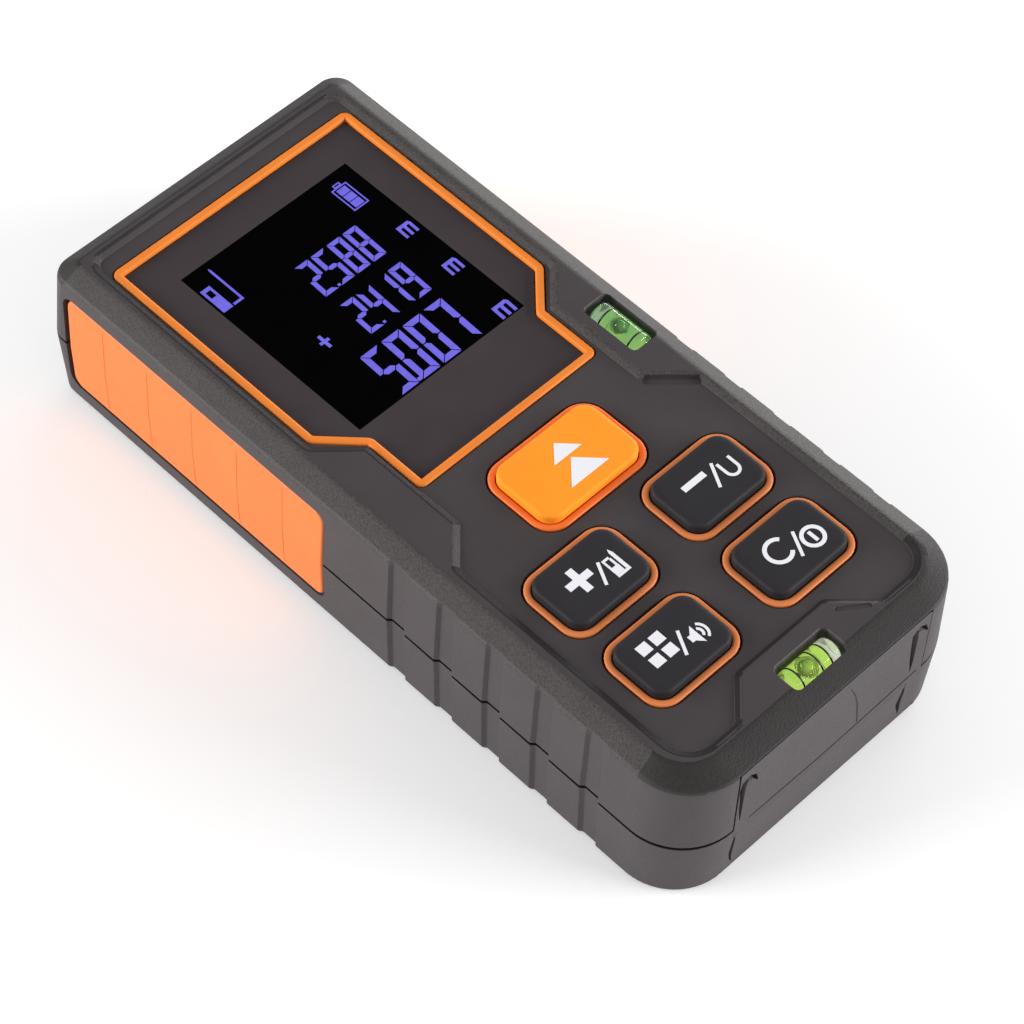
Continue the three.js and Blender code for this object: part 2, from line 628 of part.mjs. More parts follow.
// One cell along Y; direction is +1 when its button points to +Y, and the button nearly
// touches the contact at that end of the bay.
function cell(x, direction) {
  const button = CELL_BUTTON.height;
  const can = CELL_LENGTH - button;
  const face = direction > 0 ? CONTACT_FACE_Y[1] : CONTACT_FACE_Y[0];
  const tip = face - direction * GAP;
  const canMiddle = tip - direction * (button + can / 2);
  const body = cylinder(CELL_RADIUS, can, 'y', [x, canMiddle, CELL_Z], 24);
  const buttonMiddle = [x, tip - direction * button, CELL_Z];
  return body.add(cylinder(CELL_BUTTON.radius, 2 * button, 'y', buttonMiddle, 16));
}

class Helix extends THREE.Curve {
  constructor([x, y, z], bottomRadius, topRadius, height, turns) {
    super();
    Object.assign(this, { x, y, z, bottomRadius, topRadius, height, turns });
  }

  getPoint(t, target = new THREE.Vector3()) {
    const angle = t * this.turns * 2 * Math.PI;
    const radius = this.bottomRadius + (this.topRadius - this.bottomRadius) * t;
    const x = this.x + radius * Math.cos(angle);
    const z = this.z + radius * Math.sin(angle);
    return target.set(x, this.y + this.height * t, z);
  }
}

// The conical spring that pushes on a cell's flat end from the contact at face y.
function contactSpring(x, y, direction) {
  const { wireRadius, wideRadius, tipRadius, turns } = SPRING;
  const clear = GAP + wireRadius / 2;
  const space = CONTACT_FACE_Y[1] - CONTACT_FACE_Y[0] - GAP - CELL_LENGTH;
  const base = [x, y + direction * clear, CELL_Z];
  const path = new Helix(base, wideRadius, tipRadius, direction * (space - 2 * clear), turns);
  const wire = new THREE.Shape();
  wire.absarc(0, 0, wireRadius, 0, 2 * Math.PI);
  const options = { steps: 30, curveSegments: 3, extrudePath: path };
  return solidOf(new THREE.ExtrudeGeometry(wire, options));
}

// A contact plate whose face towards the cells is at y; outward is -1 at the near end.
function contactPlate(x, y, width, outward) {
  const middle = y + outward * CONTACT_THICKNESS * 0.5;
  return centredBox({ x, y: middle, width, length: CONTACT_THICKNESS }, [3, BAY_TOP_Z - 1]);
}

// ---------------------------------------------------------------- assembly

const meter = new THREE.Group();

function place(name, solid, slot) {
  const mesh = new THREE.Mesh(geometryOf(solid), new THREE.MeshStandardMaterial(FINISHES[slot]));
  mesh.name = name;
  meter.add(mesh);
}

place('front_shell', frontShell(), 'body');
place('rear_shell', rearShell(), 'body');
place('battery_cover', batteryCover(), 'body');
place('side_insert_left', sideInsert(-1), 'insert');
place('side_insert_right', sideInsert(1), 'insert');

place('display_bezel', displayBezel(), 'bezel');
place('display_window', displayWindow(), 'window');
place('lcd_panel', box([-LCD_HALF_WIDTH, LCD_HALF_WIDTH], LCD_Y, LCD_Z), 'lcd');
place('lcd_backlight', centredBox(BACKLIGHT, [BOARD_Z[1] + 0.4, LCD_Z[0] - GAP]), 'backlight');
place('lcd_ribbon', ribbonCable(), 'ribbon');

place('keypad_mat', keypadMat(), 'ring');
for (const key of KEYS) {
  place(`key_${key.name}`, keyCap(key), key.orange ? 'key_orange' : 'key_black');
  place(`switch_${key.name}`, keySwitch(key), 'switch_body');
}

place('side_vial', vial(SIDE_VIAL, 'y'), 'vial');
place('side_vial_cradle', vialCradle(SIDE_VIAL, 'y'), 'cradle');
place('end_vial', vial(END_VIAL, 'x'), 'vial');
place('end_vial_cradle', vialCradle(END_VIAL, 'x'), 'cradle');

place('main_board', mainBoard(), 'board');
const underBoard = BOARD_Z[0] - 0.1;
place('processor_chip', centredBox(CHIP, [underBoard - CHIP.thickness, underBoard]), 'chip');
const buzzerZ = [underBoard - BUZZER.thickness, underBoard];
place('buzzer', boss([BUZZER.x, BUZZER.y], BUZZER.radius, buzzerZ), 'chip');

place('optics_chassis', opticsChassis(), 'chassis');
place('laser_barrel', laserBarrel(), 'brass');
place('laser_diode', laserDiode(), 'nickel');
place('collimator_lens', lens(LASER_RADIUS - 0.95, 1.6, [LASER_X, COLLIMATOR_Y]), 'lens');
place('receiver_lens', lens(RECEIVER_RADIUS, 3, [RECEIVER_X, RECEIVER_LENS_Y]), 'lens');
place('receiver_board', box(...RECEIVER_BOARD), 'board');
const sensorMiddle = [RECEIVER_X, SENSOR.y, OPTICS_Z];
place('receiver_sensor', cylinder(SENSOR.radius, SENSOR.length, 'y', sensorMiddle, 16), 'nickel');
place('front_bezel', frontBezel(), 'key_black');
place('front_window', frontWindow(), 'lens');

place('battery_left', cell(-CELL_X, 1), 'cell');
place('battery_right', cell(CELL_X, -1), 'cell');
const [nearFace, farFace] = CONTACT_FACE_Y;
place('contact_link', contactPlate(0, nearFace, 22, -1), 'nickel');
place('contact_positive', contactPlate(-CELL_X, farFace, 9, 1), 'nickel');
place('contact_negative', contactPlate(CELL_X, farFace, 9, 1), 'nickel');
place('spring_near', contactSpring(-CELL_X, nearFace, 1), 'nickel');
place('spring_far', contactSpring(CELL_X, farFace, -1), 'nickel');

CASE_SCREW_PLACES.forEach((spot, i) => {
  place(`case_screw_${i + 1}`, screw(spot, CASE_SCREW), 'steel');
});
BOARD_SCREW_PLACES.forEach((spot, i) => {
  place(`board_screw_${i + 1}`, screw(spot, BOARD_SCREW), 'steel');
});

export default meter;
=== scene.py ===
"""The looks of the laser distance meter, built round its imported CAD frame.

Outlines and profiles are written in millimetres and become metres when a mesh is made.
+Z is up out of the display, +Y points the way the laser fires, +X is to the right.
"""

import math

import bmesh
import bpy
from mathutils import Matrix, Vector


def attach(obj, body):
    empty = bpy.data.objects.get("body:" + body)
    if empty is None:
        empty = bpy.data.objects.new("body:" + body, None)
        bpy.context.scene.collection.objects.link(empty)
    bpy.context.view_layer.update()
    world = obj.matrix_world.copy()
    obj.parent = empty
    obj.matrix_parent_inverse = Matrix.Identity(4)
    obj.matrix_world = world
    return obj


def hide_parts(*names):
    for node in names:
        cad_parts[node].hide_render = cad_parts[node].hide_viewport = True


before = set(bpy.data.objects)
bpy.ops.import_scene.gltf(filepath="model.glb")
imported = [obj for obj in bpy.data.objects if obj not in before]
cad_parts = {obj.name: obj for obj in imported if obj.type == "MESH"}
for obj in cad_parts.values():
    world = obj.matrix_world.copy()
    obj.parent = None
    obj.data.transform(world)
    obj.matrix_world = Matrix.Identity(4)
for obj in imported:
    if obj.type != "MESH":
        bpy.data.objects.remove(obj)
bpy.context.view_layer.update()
MM = 0.001

# -------- sizes, in millimetres

HALF_WIDTH = 25.2
HALF_LENGTH = 56
PARTING_Z = 11.1
SEAM_HALF_GAP = 0.26
DECK_Z = 24
ROOF_Z = 21.4
FLOOR_Z = 2.4
WALL = 2.8
NEAR_RADIUS = 8.5
FAR_RADIUS = 2.5
CORNER_STEPS = 14

RIB_COUNT = 5
RIB_PITCH = 8.18
RIB_FIRST_Y = -6.65
RIB_LENGTH = 2.95
RIB_DEPTH = 0.5

TONGUE_HALF_WIDTH = 16.4
TONGUE_TOP_Z = 22.7
TONGUE_BACK_Y = -54.2

BEZEL_HALF = 0.55
BEZEL_TOP_Z = 24.2
PANEL_TOP_Z = 23.55
SCREEN = (0, 25.95, 28.2, 32.6)

RING_WIDTH = 1.05
RING_TOP_Z = 24.08
KEY_GAP = 0.13
KEY_TOP_Z = 25.36
LEGEND_Z = (25.3, 25.385)
LEGEND_SHIFT = (-0.1, -0.08)

# a key: middle of its orange ring, the ring's width and length, and its corner radius
KEYS = {
    "measure": (0, -11.8, 18.8, 12.8, 3.4),
    "minus": (10.04, -25.6, 15.3, 11.4, 3.2),
    "power": (10.04, -38.85, 15.3, 11.4, 3.2),
    "plus": (-10.04, -25.6, 15.3, 11.4, 3.2),
    "mode": (-10.04, -38.85, 15.3, 11.4, 3.2),
}

BAY_HALF_WIDTH = 12.4
BAY_Y = (-53.6, -3.4)
BAY_TOP_Z = 10.8
COVER_HALF_WIDTH = 15.7
COVER_RAIL_HALF_WIDTH = 17.2
COVER_FAR_Y = -2
COVER_Z = (0.1, 0.8, 1.4)
CASE_SCREWS = [(20.2, -48.8), (-20.2, -48.8), (20.2, 50), (-20.2, 50)]

SIDE_VIAL = (20.45, -0.9)
END_VIAL = (0.3, -51.15)
VIAL_RADIUS = 1.84
VIAL_TOP_Z = 24.4

PORT_HALF_WIDTH = 18.6
PORT_Z = (2.6, 15.4)
OPTICS_Z = 8.5
RECEIVER_X = -5.5
LASER_X = 9.5

INSERT_Y = (4.7, 52)
INSERT_Z = (3.5, 20.5)
INSERT_PARTS = 6
INSERT_PITCH = 8.27
INSERT_THICKNESS = 1.6
POCKET_GAP = 0.25
POCKET_DEPTH = 1.9
POCKET_REACH = 0.4

LIP_INSET = 0.9
LIP_GAP = 0.04

FIGURE_LEAN = 0.035
FIGURE_Z = (PANEL_TOP_Z - 0.05, PANEL_TOP_Z - 0.012)
LINE = 0.42


def mirrored(right_half):
    """Corners (x, y, radius) of the right half, upwards, then the left half back down."""
    return right_half + [(-x, y, r) for x, y, r in reversed(right_half)]


def rectangle(x, y, width, length, radius):
    """Corners of a rounded rectangle, counter-clockwise."""
    w, h = width / 2, length / 2
    return [(x + i * w, y + j * h, radius) for i, j in ((1, -1), (1, 1), (-1, 1), (-1, -1))]


WINDOW = mirrored([(14.6, -1.6, 0.55), (14.6, 7.3, 0.9), (19.6, 12.5, 0.9), (19.6, 48.1, 0.6)])
DECK = [
    (7.8, -46.2, 1.6), (12.8, -51, 1.2), (20.9, -51, 3.8), (20.9, -13.6, 1), (15.7, -8.6, 1),
    (15.7, 6.8, 1.2), (20.5, 11.6, 1.2), (20.5, 51.1, 1.6), (-20.5, 51.1, 1.6), (-20.5, 11.6, 1.2),
    (-15.3, 6.8, 1.2), (-15.3, -9, 1), (-20, -13.8, 1), (-20, -51, 3.8), (-12.4, -51, 1.2),
    (-7.4, -46.2, 1.6),
]

SIDE_PORT = rectangle(*SIDE_VIAL, 4.4, 9, 0.7)
END_PORT = rectangle(*END_VIAL, 8.8, 4.1, 0.8)
PORT = rectangle(0, sum(PORT_Z) / 2, 2 * PORT_HALF_WIDTH, PORT_Z[1] - PORT_Z[0], 1.6)

# -------- mesh tools


def outline(corners, grow=0.0, steps=8):
    """Points of a closed outline with rounded corners, drawn outwards by grow."""
    count = len(corners)
    sides = []
    for i in range(count):
        start = Vector(corners[i][:2])
        along = (Vector(corners[(i + 1) % count][:2]) - start).normalized()
        sides.append((start + Vector((along.y, -along.x)) * grow, along))
    points = []
    for i in range(count):
        (p, u), (q, v) = sides[i - 1], sides[i]
        cross = u.x * v.y - u.y * v.x
        corner = p + u * (((q.x - p.x) * v.y - (q.y - p.y) * v.x) / cross)
        turn = math.atan2(cross, u.dot(v))
        hand = 1 if turn > 0 else -1
        radius = max(corners[i][2] + hand * grow, 0.03)
        first = corner - u * radius * math.tan(abs(turn) / 2)
        centre = first + Vector((-u.y, u.x)) * radius * hand
        angle = math.atan2(first.y - centre.y, first.x - centre.x)
        for k in range(steps + 1):
            a = angle + turn * k / steps
            points.append((centre.x + radius * math.cos(a), centre.y + radius * math.sin(a)))
    return points


def placed(name, data):
    """A new object in the scene."""
    made = bpy.data.objects.new(name, data)
    bpy.context.scene.collection.objects.link(made)
    return made


def mesh_piece(name, vertices, faces, material=None):
    """A new mesh object from vertices in millimetres."""
    mesh = bpy.data.meshes.new(name)
    mesh.from_pydata([Vector(v) * MM for v in vertices], [], faces)
    made = bmesh.new()
    made.from_mesh(mesh)
    bmesh.ops.recalc_face_normals(made, faces=made.faces)
    made.to_mesh(mesh)
    made.free()
    if material:
        mesh.materials.append(material)
    return placed(name, mesh)


def loft(name, rings, material=None, closed=False):
    """A skin over rings of equal counts; open ends are capped, a closed one joins up."""
    count = len(rings[0])
    vertices = [point for ring in rings for point in ring]
    order = list(range(len(rings))) + ([0] if closed else [])
    faces = []
    for low, high in zip(order, order[1:]):
        for i in range(count):
            j = (i + 1) % count
            faces.append((low * count + i, low * count + j, high * count + j, high * count + i))
    if not closed:
        faces.append(tuple(reversed(range(count))))
        faces.append(tuple(range((len(rings) - 1) * count, len(rings) * count)))
    return mesh_piece(name, vertices, faces, material)


def flat(point, height):
    """An outline's point in the deck's plane."""
    return (point[0], point[1], height)


def facing_end(point, height):
    """An outline's point in a plane across the body: drawn as X and Z, at Y = height."""
    return (point[0], height, point[1])


def facing_side(point, height):
    """An outline's point in a plane along the body: drawn as Y and Z, at X = height."""
    return (height, point[0], point[1])


def prism(name, corners, levels, material=None, to=flat, steps=8):
    """A solid whose outline is grown by a little at each level: levels are (height, grow)."""
    rings = [[to(p, h) for p in outline(corners, grow, steps)] for h, grow in levels]
    return loft(name, rings, material)


def ring_sweep(name, corners, profile, material=None, to=flat, steps=8):
    """A closed frame: the section (grow, height) carried round an outline."""
    rings = [[to(p, h) for p in outline(corners, grow, steps)] for grow, h in profile]
    return loft(name, rings, material, closed=True)


def revolved(profile, centre, axis, segments):
    """Rings of (radius, height) points turned about 'x', 'y' or 'z' through centre."""
    rings = []
    for radius, height in profile:
        ring = []
        for i in range(segments):
            a = 2 * math.pi * i / segments
            c, s = radius * math.cos(a), radius * math.sin(a)
            local = {"x": (height, c, s), "y": (s, height, c), "z": (c, s, height)}[axis]
            ring.append(tuple(local[k] + centre[k] for k in range(3)))
        rings.append(ring)
    return rings


def turned(name, profile, centre, axis, material=None, segments=48):
    """A body of revolution: profile is (radius, height) from end to end."""
    return loft(name, revolved(profile, centre, axis, segments), material)


def modify(piece, kind, **settings):
    modifier = piece.modifiers.new(kind.lower(), kind)
    for name, value in settings.items():
        setattr(modifier, name, value)


def settle(piece):
    """Applies a piece's modifiers to its mesh."""
    graph = bpy.context.evaluated_depsgraph_get()
    mesh = bpy.data.meshes.new_from_object(piece.evaluated_get(graph))
    piece.modifiers.clear()
    piece.data = mesh


def carve(piece, tools, operation="DIFFERENCE"):
    """Cuts, joins or intersects a piece with tool solids, and removes the tools."""
    for tool in tools:
        if piece.data.materials and not tool.data.materials:
            tool.data.materials.append(piece.data.materials[0])
        modify(piece, "BOOLEAN", object=tool, operation=operation, solver="MANIFOLD")
    settle(piece)
    for tool in tools:
        bpy.data.objects.remove(tool)


def soften(piece, width, segments=2):
    """Rounds a piece's sharp edges."""
    modify(piece, "BEVEL", width=width * MM, segments=segments, limit_method="ANGLE",
           angle_limit=math.radians(35))
    settle(piece)


def smooth(piece, angle=32):
    """Smooth shading that keeps real edges and flat faces."""
    piece.data.shade_smooth()
    piece.data.set_sharp_from_angle(angle=math.radians(angle))
    modify(piece, "WEIGHTED_NORMAL", keep_sharp=True, weight=80)
    settle(piece)


def join(name, pieces):
    """Makes one piece of several, keeping the first one's materials."""
    made = bmesh.new()
    for piece in pieces:
        made.from_mesh(piece.data)
    mesh = bpy.data.meshes.new(name)
    made.to_mesh(mesh)
    made.free()
    for material in pieces[0].data.materials:
        mesh.materials.append(material)
    for piece in pieces:
        bpy.data.objects.remove(piece)
    return placed(name, mesh)


def fit(piece, body, slot, *nodes, angle=32):
    """Shades a finished piece, ties it to its body and hides the CAD nodes it stands for; slot is
    not used.
    """
    smooth(piece, angle)
    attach(piece, body)
    if nodes:
        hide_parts(*nodes)
    return piece


# -------- materials


def nodes_of(name):
    """A new material, its node tree and its shader."""
    material = bpy.data.materials.new(name)
    material.use_nodes = True
    tree = material.node_tree
    return material, tree, tree.nodes["Principled BSDF"]


def give(tree, node, inputs):
    """Fills a node's inputs, each from another node's output or with a plain value."""
    for name, value in inputs.items():
        if isinstance(value, bpy.types.NodeSocket):
            tree.links.new(value, node.inputs[name])
        else:
            node.inputs[name].default_value = value


def noise(tree, size, detail=3.0, roughness=0.55):
    """A noise whose grains are about size millimetres across, fixed to the piece."""
    place = tree.nodes.new("ShaderNodeTexCoord")
    texture = tree.nodes.new("ShaderNodeTexNoise")
    give(tree, texture, {"Scale": 1 / (size * MM), "Detail": detail, "Roughness": roughness,
                         "Vector": place.outputs["Object"]})
    return texture.outputs["Fac"]


def remap(tree, value, low, high, in_low=0.3, in_high=0.7):
    """A value's range, most of a noise's by default, stretched to run from low to high."""
    node = tree.nodes.new("ShaderNodeMapRange")
    give(tree, node, {"From Min": in_low, "From Max": in_high, "To Min": low, "To Max": high,
                      "Value": value})
    return node.outputs["Result"]


def mix_colours(tree, factor, low, high):
    node = tree.nodes.new("ShaderNodeMix")
    node.data_type = "RGBA"
    give(tree, node, {"A": (*low, 1), "B": (*high, 1), "Factor": factor})
    return node.outputs["Result"]


def multiplied(tree, first, second):
    node = tree.nodes.new("ShaderNodeMix")
    node.data_type = "RGBA"
    node.blend_type = "MULTIPLY"
    give(tree, node, {"Factor": 1, "A": first, "B": second})
    return node.outputs["Result"]


def bump(tree, height, depth):
    """A bump of depth millimetres."""
    node = tree.nodes.new("ShaderNodeBump")
    give(tree, node, {"Strength": 1, "Distance": depth * MM, "Height": height})
    return node.outputs["Normal"]


def linear(red, green, blue):
    """A screen colour, 0 to 255, as the shader's linear colour."""
    def channel(value):
        value /= 255
        return value / 12.92 if value <= 0.04045 else ((value + 0.055) / 1.055) ** 2.4
    return tuple(channel(v) for v in (red, green, blue))


def shaded(colour, factor):
    return tuple(min(c * factor, 1) for c in colour)


def drifting(tree, value, colour, low, high):
    """A screen colour that moves between two shades of itself as a noise's value does."""
    colour = linear(*colour)
    return mix_colours(tree, remap(tree, value, 0, 1), shaded(colour, low), shaded(colour, high))


def speckled(name, dark, light, size):
    """A spark-eroded surface: light and dark specks about size millimetres across."""
    material, tree, shader = nodes_of(name)
    dark, light = linear(*dark), linear(*light)
    specks = noise(tree, size, 2.0, 0.6)
    patches = remap(tree, noise(tree, 5.0, 3.0), 0, 1)
    tint = mix_colours(tree, remap(tree, specks, 0, 1, 0.36, 0.66), dark, light)
    soft = mix_colours(tree, patches, (0.9, 0.9, 0.9), (1.06, 1.06, 1.06))
    give(tree, shader, {
        "Base Color": multiplied(tree, tint, soft), "Roughness": remap(tree, specks, 0.5, 0.7),
        "Normal": bump(tree, specks, 0.05), "Specular IOR Level": 0.35})
    return material


def moulded(name, colour, rough, grain=0.25, depth=0.006, spread=0.1, specular=0.5, painted_glow=0.0):
    """Moulded plastic or rubber: a fine grain, a slow drift of colour and uneven gloss."""
    material, tree, shader = nodes_of(name)
    speckle = noise(tree, grain, 4.0, 0.65)
    tint = drifting(tree, noise(tree, 6.0, 4.0), colour, 1 - spread, 1 + spread)
    give(tree, shader, {
        "Base Color": tint, "Roughness": remap(tree, speckle, rough - 0.06, rough + 0.08),
        "Normal": bump(tree, speckle, depth), "Specular IOR Level": specular})
    # an optional glow for a part that is no lamp: painted light
    if painted_glow:
        give(tree, shader, {"Emission Color": tint, "Emission Strength": painted_glow})
    return material


def metal(name, colour, rough, size=0.4, stretch=(1, 12, 1)):
    """Metal with a drawn or machined grain."""
    material, tree, shader = nodes_of(name)
    place = tree.nodes.new("ShaderNodeTexCoord")
    scaled = tree.nodes.new("ShaderNodeMapping")
    give(tree, scaled, {"Scale": stretch, "Vector": place.outputs["Object"]})
    texture = tree.nodes.new("ShaderNodeTexNoise")
    give(tree, texture, {"Scale": 1 / (size * MM), "Vector": scaled.outputs["Vector"]})
    grain = texture.outputs["Fac"]
    give(tree, shader, {
        "Base Color": drifting(tree, grain, colour, 0.88, 1.08), "Metallic": 1,
        "Roughness": remap(tree, grain, rough - 0.08, rough + 0.1),
        "Normal": bump(tree, grain, 0.003)})
    return material


def glassy(name, colour, clear, ior):
    """Clear or tinted glass, faintly uneven."""
    material, tree, shader = nodes_of(name)
    wave = noise(tree, 1.5, 2.0)
    give(tree, shader, {
        "Base Color": drifting(tree, wave, colour, 0.93, 1.04),
        "Roughness": remap(tree, wave, 0.02, 0.05), "Transmission Weight": clear, "IOR": ior})
    return material


def facing(tree, direction, low, high):
    """How far the piece's own surface turns towards a fixed direction, from 0 to 1."""
    place = tree.nodes.new("ShaderNodeTexCoord")
    dot = tree.nodes.new("ShaderNodeVectorMath")
    dot.operation = "DOT_PRODUCT"
    dot.inputs[1].default_value = Vector(direction).normalized()
    tree.links.new(place.outputs["Normal"], dot.inputs[0])
    return remap(tree, dot.outputs["Value"], 0, 1, low, high)


def liquid(name, deep, bright):
    """Tinted spirit in a tube, in painted light: deeper in colour on top, paler along its lower
    near side, and glowing faintly.
    """
    material, tree, shader = nodes_of(name)
    # painted light: the colour pales where the surface turns nearwards and down
    tint = mix_colours(tree, facing(tree, (-0.7, -0.7, -0.1), 0.1, 0.9), linear(*deep),
                       linear(*bright))
    cloud = remap(tree, noise(tree, 0.9, 3.0), 0, 1)
    streaks = mix_colours(tree, cloud, (0.82, 0.86, 0.82), (1.05, 1.05, 1.02))
    colour = multiplied(tree, tint, streaks)
    # a faint painted glow in the liquid's own colour
    give(tree, shader, {
        "Base Color": colour, "Emission Color": colour, "Emission Strength": 0.07,
        "Roughness": 0.03, "Transmission Weight": 1, "IOR": 1.38})
    return material


def bubble_painted_light(name, rim, middle):
    """An air bubble in painted light and shade: paler where it faces up and nearwards, with a dark
    rim round that, and glowing faintly.
    """
    material, tree, shader = nodes_of(name)
    # painted highlight where the surface faces up and nearwards, painted shade in the dark rim
    # round it, and a painted glow
    tint = mix_colours(tree, facing(tree, (0.1, -0.5, 0.85), 0.5, 1.0), linear(*rim),
                       linear(*middle))
    give(tree, shader, {
        "Base Color": tint, "Roughness": remap(tree, noise(tree, 0.4), 0.1, 0.25),
        "Emission Color": tint, "Emission Strength": 0.25})
    return material


def lit(name, colour):
    """The display's lit figures, slightly uneven in strength."""
    material, tree, shader = nodes_of(name)
    give(tree, shader, {
        "Emission Color": drifting(tree, noise(tree, 0.9, 2.0), colour, 0.9, 1.08),
        "Emission Strength": 1, "Base Color": (0.01, 0.01, 0.02, 1), "Roughness": 0.5,
        "Specular IOR Level": 0.1})
    return material


BODY = moulded("body_rubber", (62, 56, 58), 0.55, 0.3, 0.004, 0.06, 0.35)
GRAIN = speckled("body_grain", (50, 46, 46), (76, 71, 70), 0.22)
# the same grain, painted darker for the rim's two ends: painted shade
GRAIN_ENDS_PAINTED_SHADE = speckled("end_grain_painted_shade", (34, 30, 30), (45, 41, 40), 0.22)
STEP = moulded("step_shade", (36, 32, 34), 0.6, 0.3, 0.004, 0.08, 0.2)
JOINT = moulded("joint_shade", (20, 17, 19), 0.7, 0.3, 0.004, 0.1, 0.1)
SIDE_ORANGE = moulded("insert_orange", (214, 114, 50), 0.5, 0.35, 0.005, 0.04, 0.35)
BEZEL_ORANGE = moulded("bezel_orange", (231, 129, 47), 0.48, 0.3, 0.002, 0.04, 0.2)
RING_ORANGE = moulded("ring_orange", (218, 126, 70), 0.5, 0.25, 0.004, 0.06, 0.35)
RING_BRIGHT = moulded("ring_bright", (240, 116, 46), 0.45, 0.25, 0.004, 0.05, 0.35)
KEY_ORANGE = moulded("key_orange", (251, 151, 40), 0.6, 0.3, 0.002, 0.03, 0.12)
KEY_BLACK = moulded("key_black", (41, 39, 42), 0.6, 0.3, 0.003, 0.08, 0.18)
PANEL = moulded("display_mask", (64, 58, 61), 0.6, 0.8, 0.0003, 0.05, 0.04)
SCREEN_BLACK = moulded("screen_black", (3, 3, 4), 0.55, 0.8, 0.0002, 0.2, 0.005)
PRINT = moulded("legend_white", (232, 232, 238), 0.5, 0.2, 0.002, 0.02)
FIGURES = lit("lit_figures", (112, 102, 225))
# the spirits and the clear plugs carry the painted light and glow of liquid()
LIQUID_SIDE = liquid("vial_liquid_side", (142, 196, 134), (205, 232, 142))
LIQUID_END = liquid("vial_liquid_end", (200, 235, 125), (240, 252, 150))
PLUG_SIDE = liquid("vial_plug_side", (160, 190, 160), (190, 215, 185))
PLUG_END = liquid("vial_plug_end", (222, 230, 212), (245, 248, 236))
# the bubble's pale middle, dark rim and glow are painted light and shade
BUBBLE_PAINTED_LIGHT = bubble_painted_light("vial_bubble_painted_light", (12, 32, 34), (196, 190, 200))
VIAL_RING = moulded("vial_ring", (18, 26, 16), 0.35, 0.3, 0.001, 0.1)
# the cradle glows: painted light standing in for the light that reaches it through the vials
CRADLE_PAINTED_GLOW = moulded("vial_cradle", (236, 238, 222), 0.5, 0.3, 0.003, 0.04, painted_glow=0.5)
CLEAR = glassy("optic_glass", (214, 226, 232), 0.95, 1.5)
LENS = glassy("lens_glass", (190, 205, 225), 0.8, 1.52)
TRIM = moulded("front_trim", (36, 36, 38), 0.35, 0.4, 0.002, 0.08)
CHASSIS = metal("cast_chassis", (52, 52, 55), 0.5, 0.5, (1, 1, 1))
BRASS = metal("turned_brass", (190, 150, 80), 0.3)
STEEL = metal("zinc_steel", (176, 176, 174), 0.34)
NICKEL = metal("nickel_strip", (205, 200, 190), 0.28, 0.5, (1, 1, 10))
BOARD = moulded("board_mask", (24, 78, 44), 0.35, 0.5, 0.006, 0.15)
CHIP = moulded("chip_epoxy", (30, 30, 32), 0.55, 0.2, 0.004, 0.1)
SWITCH = moulded("switch_body", (40, 40, 42), 0.45, 0.3, 0.003, 0.1)
RIBBON = moulded("ribbon_film", (186, 118, 48), 0.35, 0.8, 0.002, 0.12)
BACKLIGHT = moulded("backlight_acrylic", (232, 232, 228), 0.3, 0.5, 0.001, 0.03)
CELL = moulded("cell_sleeve", (40, 92, 122), 0.3, 0.7, 0.001, 0.08)

# heights and material of what is printed on the keys, and of what is lit on the display
INK = (LEGEND_Z, PRINT)
LIT = (FIGURE_Z, FIGURES)


def dress_nodes():
    """The CAD nodes that stay: each gets its finish, and soft edges where it can be seen."""
    finishes = {
        SCREEN_BLACK: ["lcd_panel"], BACKLIGHT: ["lcd_backlight"], RIBBON: ["lcd_ribbon"],
        CRADLE_PAINTED_GLOW: ["side_vial_cradle", "end_vial_cradle"], BOARD: ["main_board", "receiver_board"],
        CHIP: ["processor_chip", "buzzer"], CHASSIS: ["optics_chassis"], BRASS: ["laser_barrel"],
        CELL: ["battery_left", "battery_right"], SWITCH: [f"switch_{key}" for key in KEYS],
        NICKEL: ["laser_diode", "receiver_sensor", "contact_link", "contact_positive",
                 "contact_negative", "spring_near", "spring_far"],
        STEEL: [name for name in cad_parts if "screw" in name],
    }
    for material, name in ((m, name) for m, names in finishes.items() for name in names):
        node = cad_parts[name]
        node.data.materials.clear()
        node.data.materials.append(material)
        modify(node, "WELD", merge_threshold=0.001 * MM)
        modify(node, "BEVEL", width=0.06 * MM, limit_method="ANGLE", angle_limit=math.radians(40))


# -------- casing


def casing_ring(z, inset_x, inset_near, inset_far, rib):
    """One level of the casing, with the finger ribs along its sides."""
    half_width = HALF_WIDTH - inset_x
    low = -HALF_LENGTH + inset_near
    high = HALF_LENGTH - inset_far
    near = NEAR_RADIUS - min(inset_x, inset_near)
    far = max(FAR_RADIUS + 0.8 * min(inset_far, 1) - 0.8 * min(inset_x, inset_far), 0.6)
    ring = []

    def arc(x, y, radius, start):
        for i in range(CORNER_STEPS + 1):
            a = start + i / CORNER_STEPS * math.pi / 2
            ring.append((x + radius * math.cos(a), y + radius * math.sin(a), z))

    ribs = []
    for i in range(RIB_COUNT):
        start = RIB_FIRST_Y - i * RIB_PITCH
        end = start - RIB_LENGTH
        ribs += [(0, start + 0.12), (rib * 0.12, start)]
        ribs += [(rib * 0.95, start - 0.42), (rib, start - 0.6)]
        ribs += [(rib, end + 0.08), (rib * 0.1, end), (0, end - 0.1)]
    arc(half_width - near, low + near, near, -math.pi / 2)
    ring += [(half_width - depth, y, z) for depth, y in reversed(ribs)]
    arc(half_width - far, high - far, far, 0)
    arc(-half_width + far, high - far, far, math.pi / 2)
    ring += [(-half_width + depth, y, z) for depth, y in ribs]
    arc(-half_width + near, low + near, near, math.pi)
    return ring


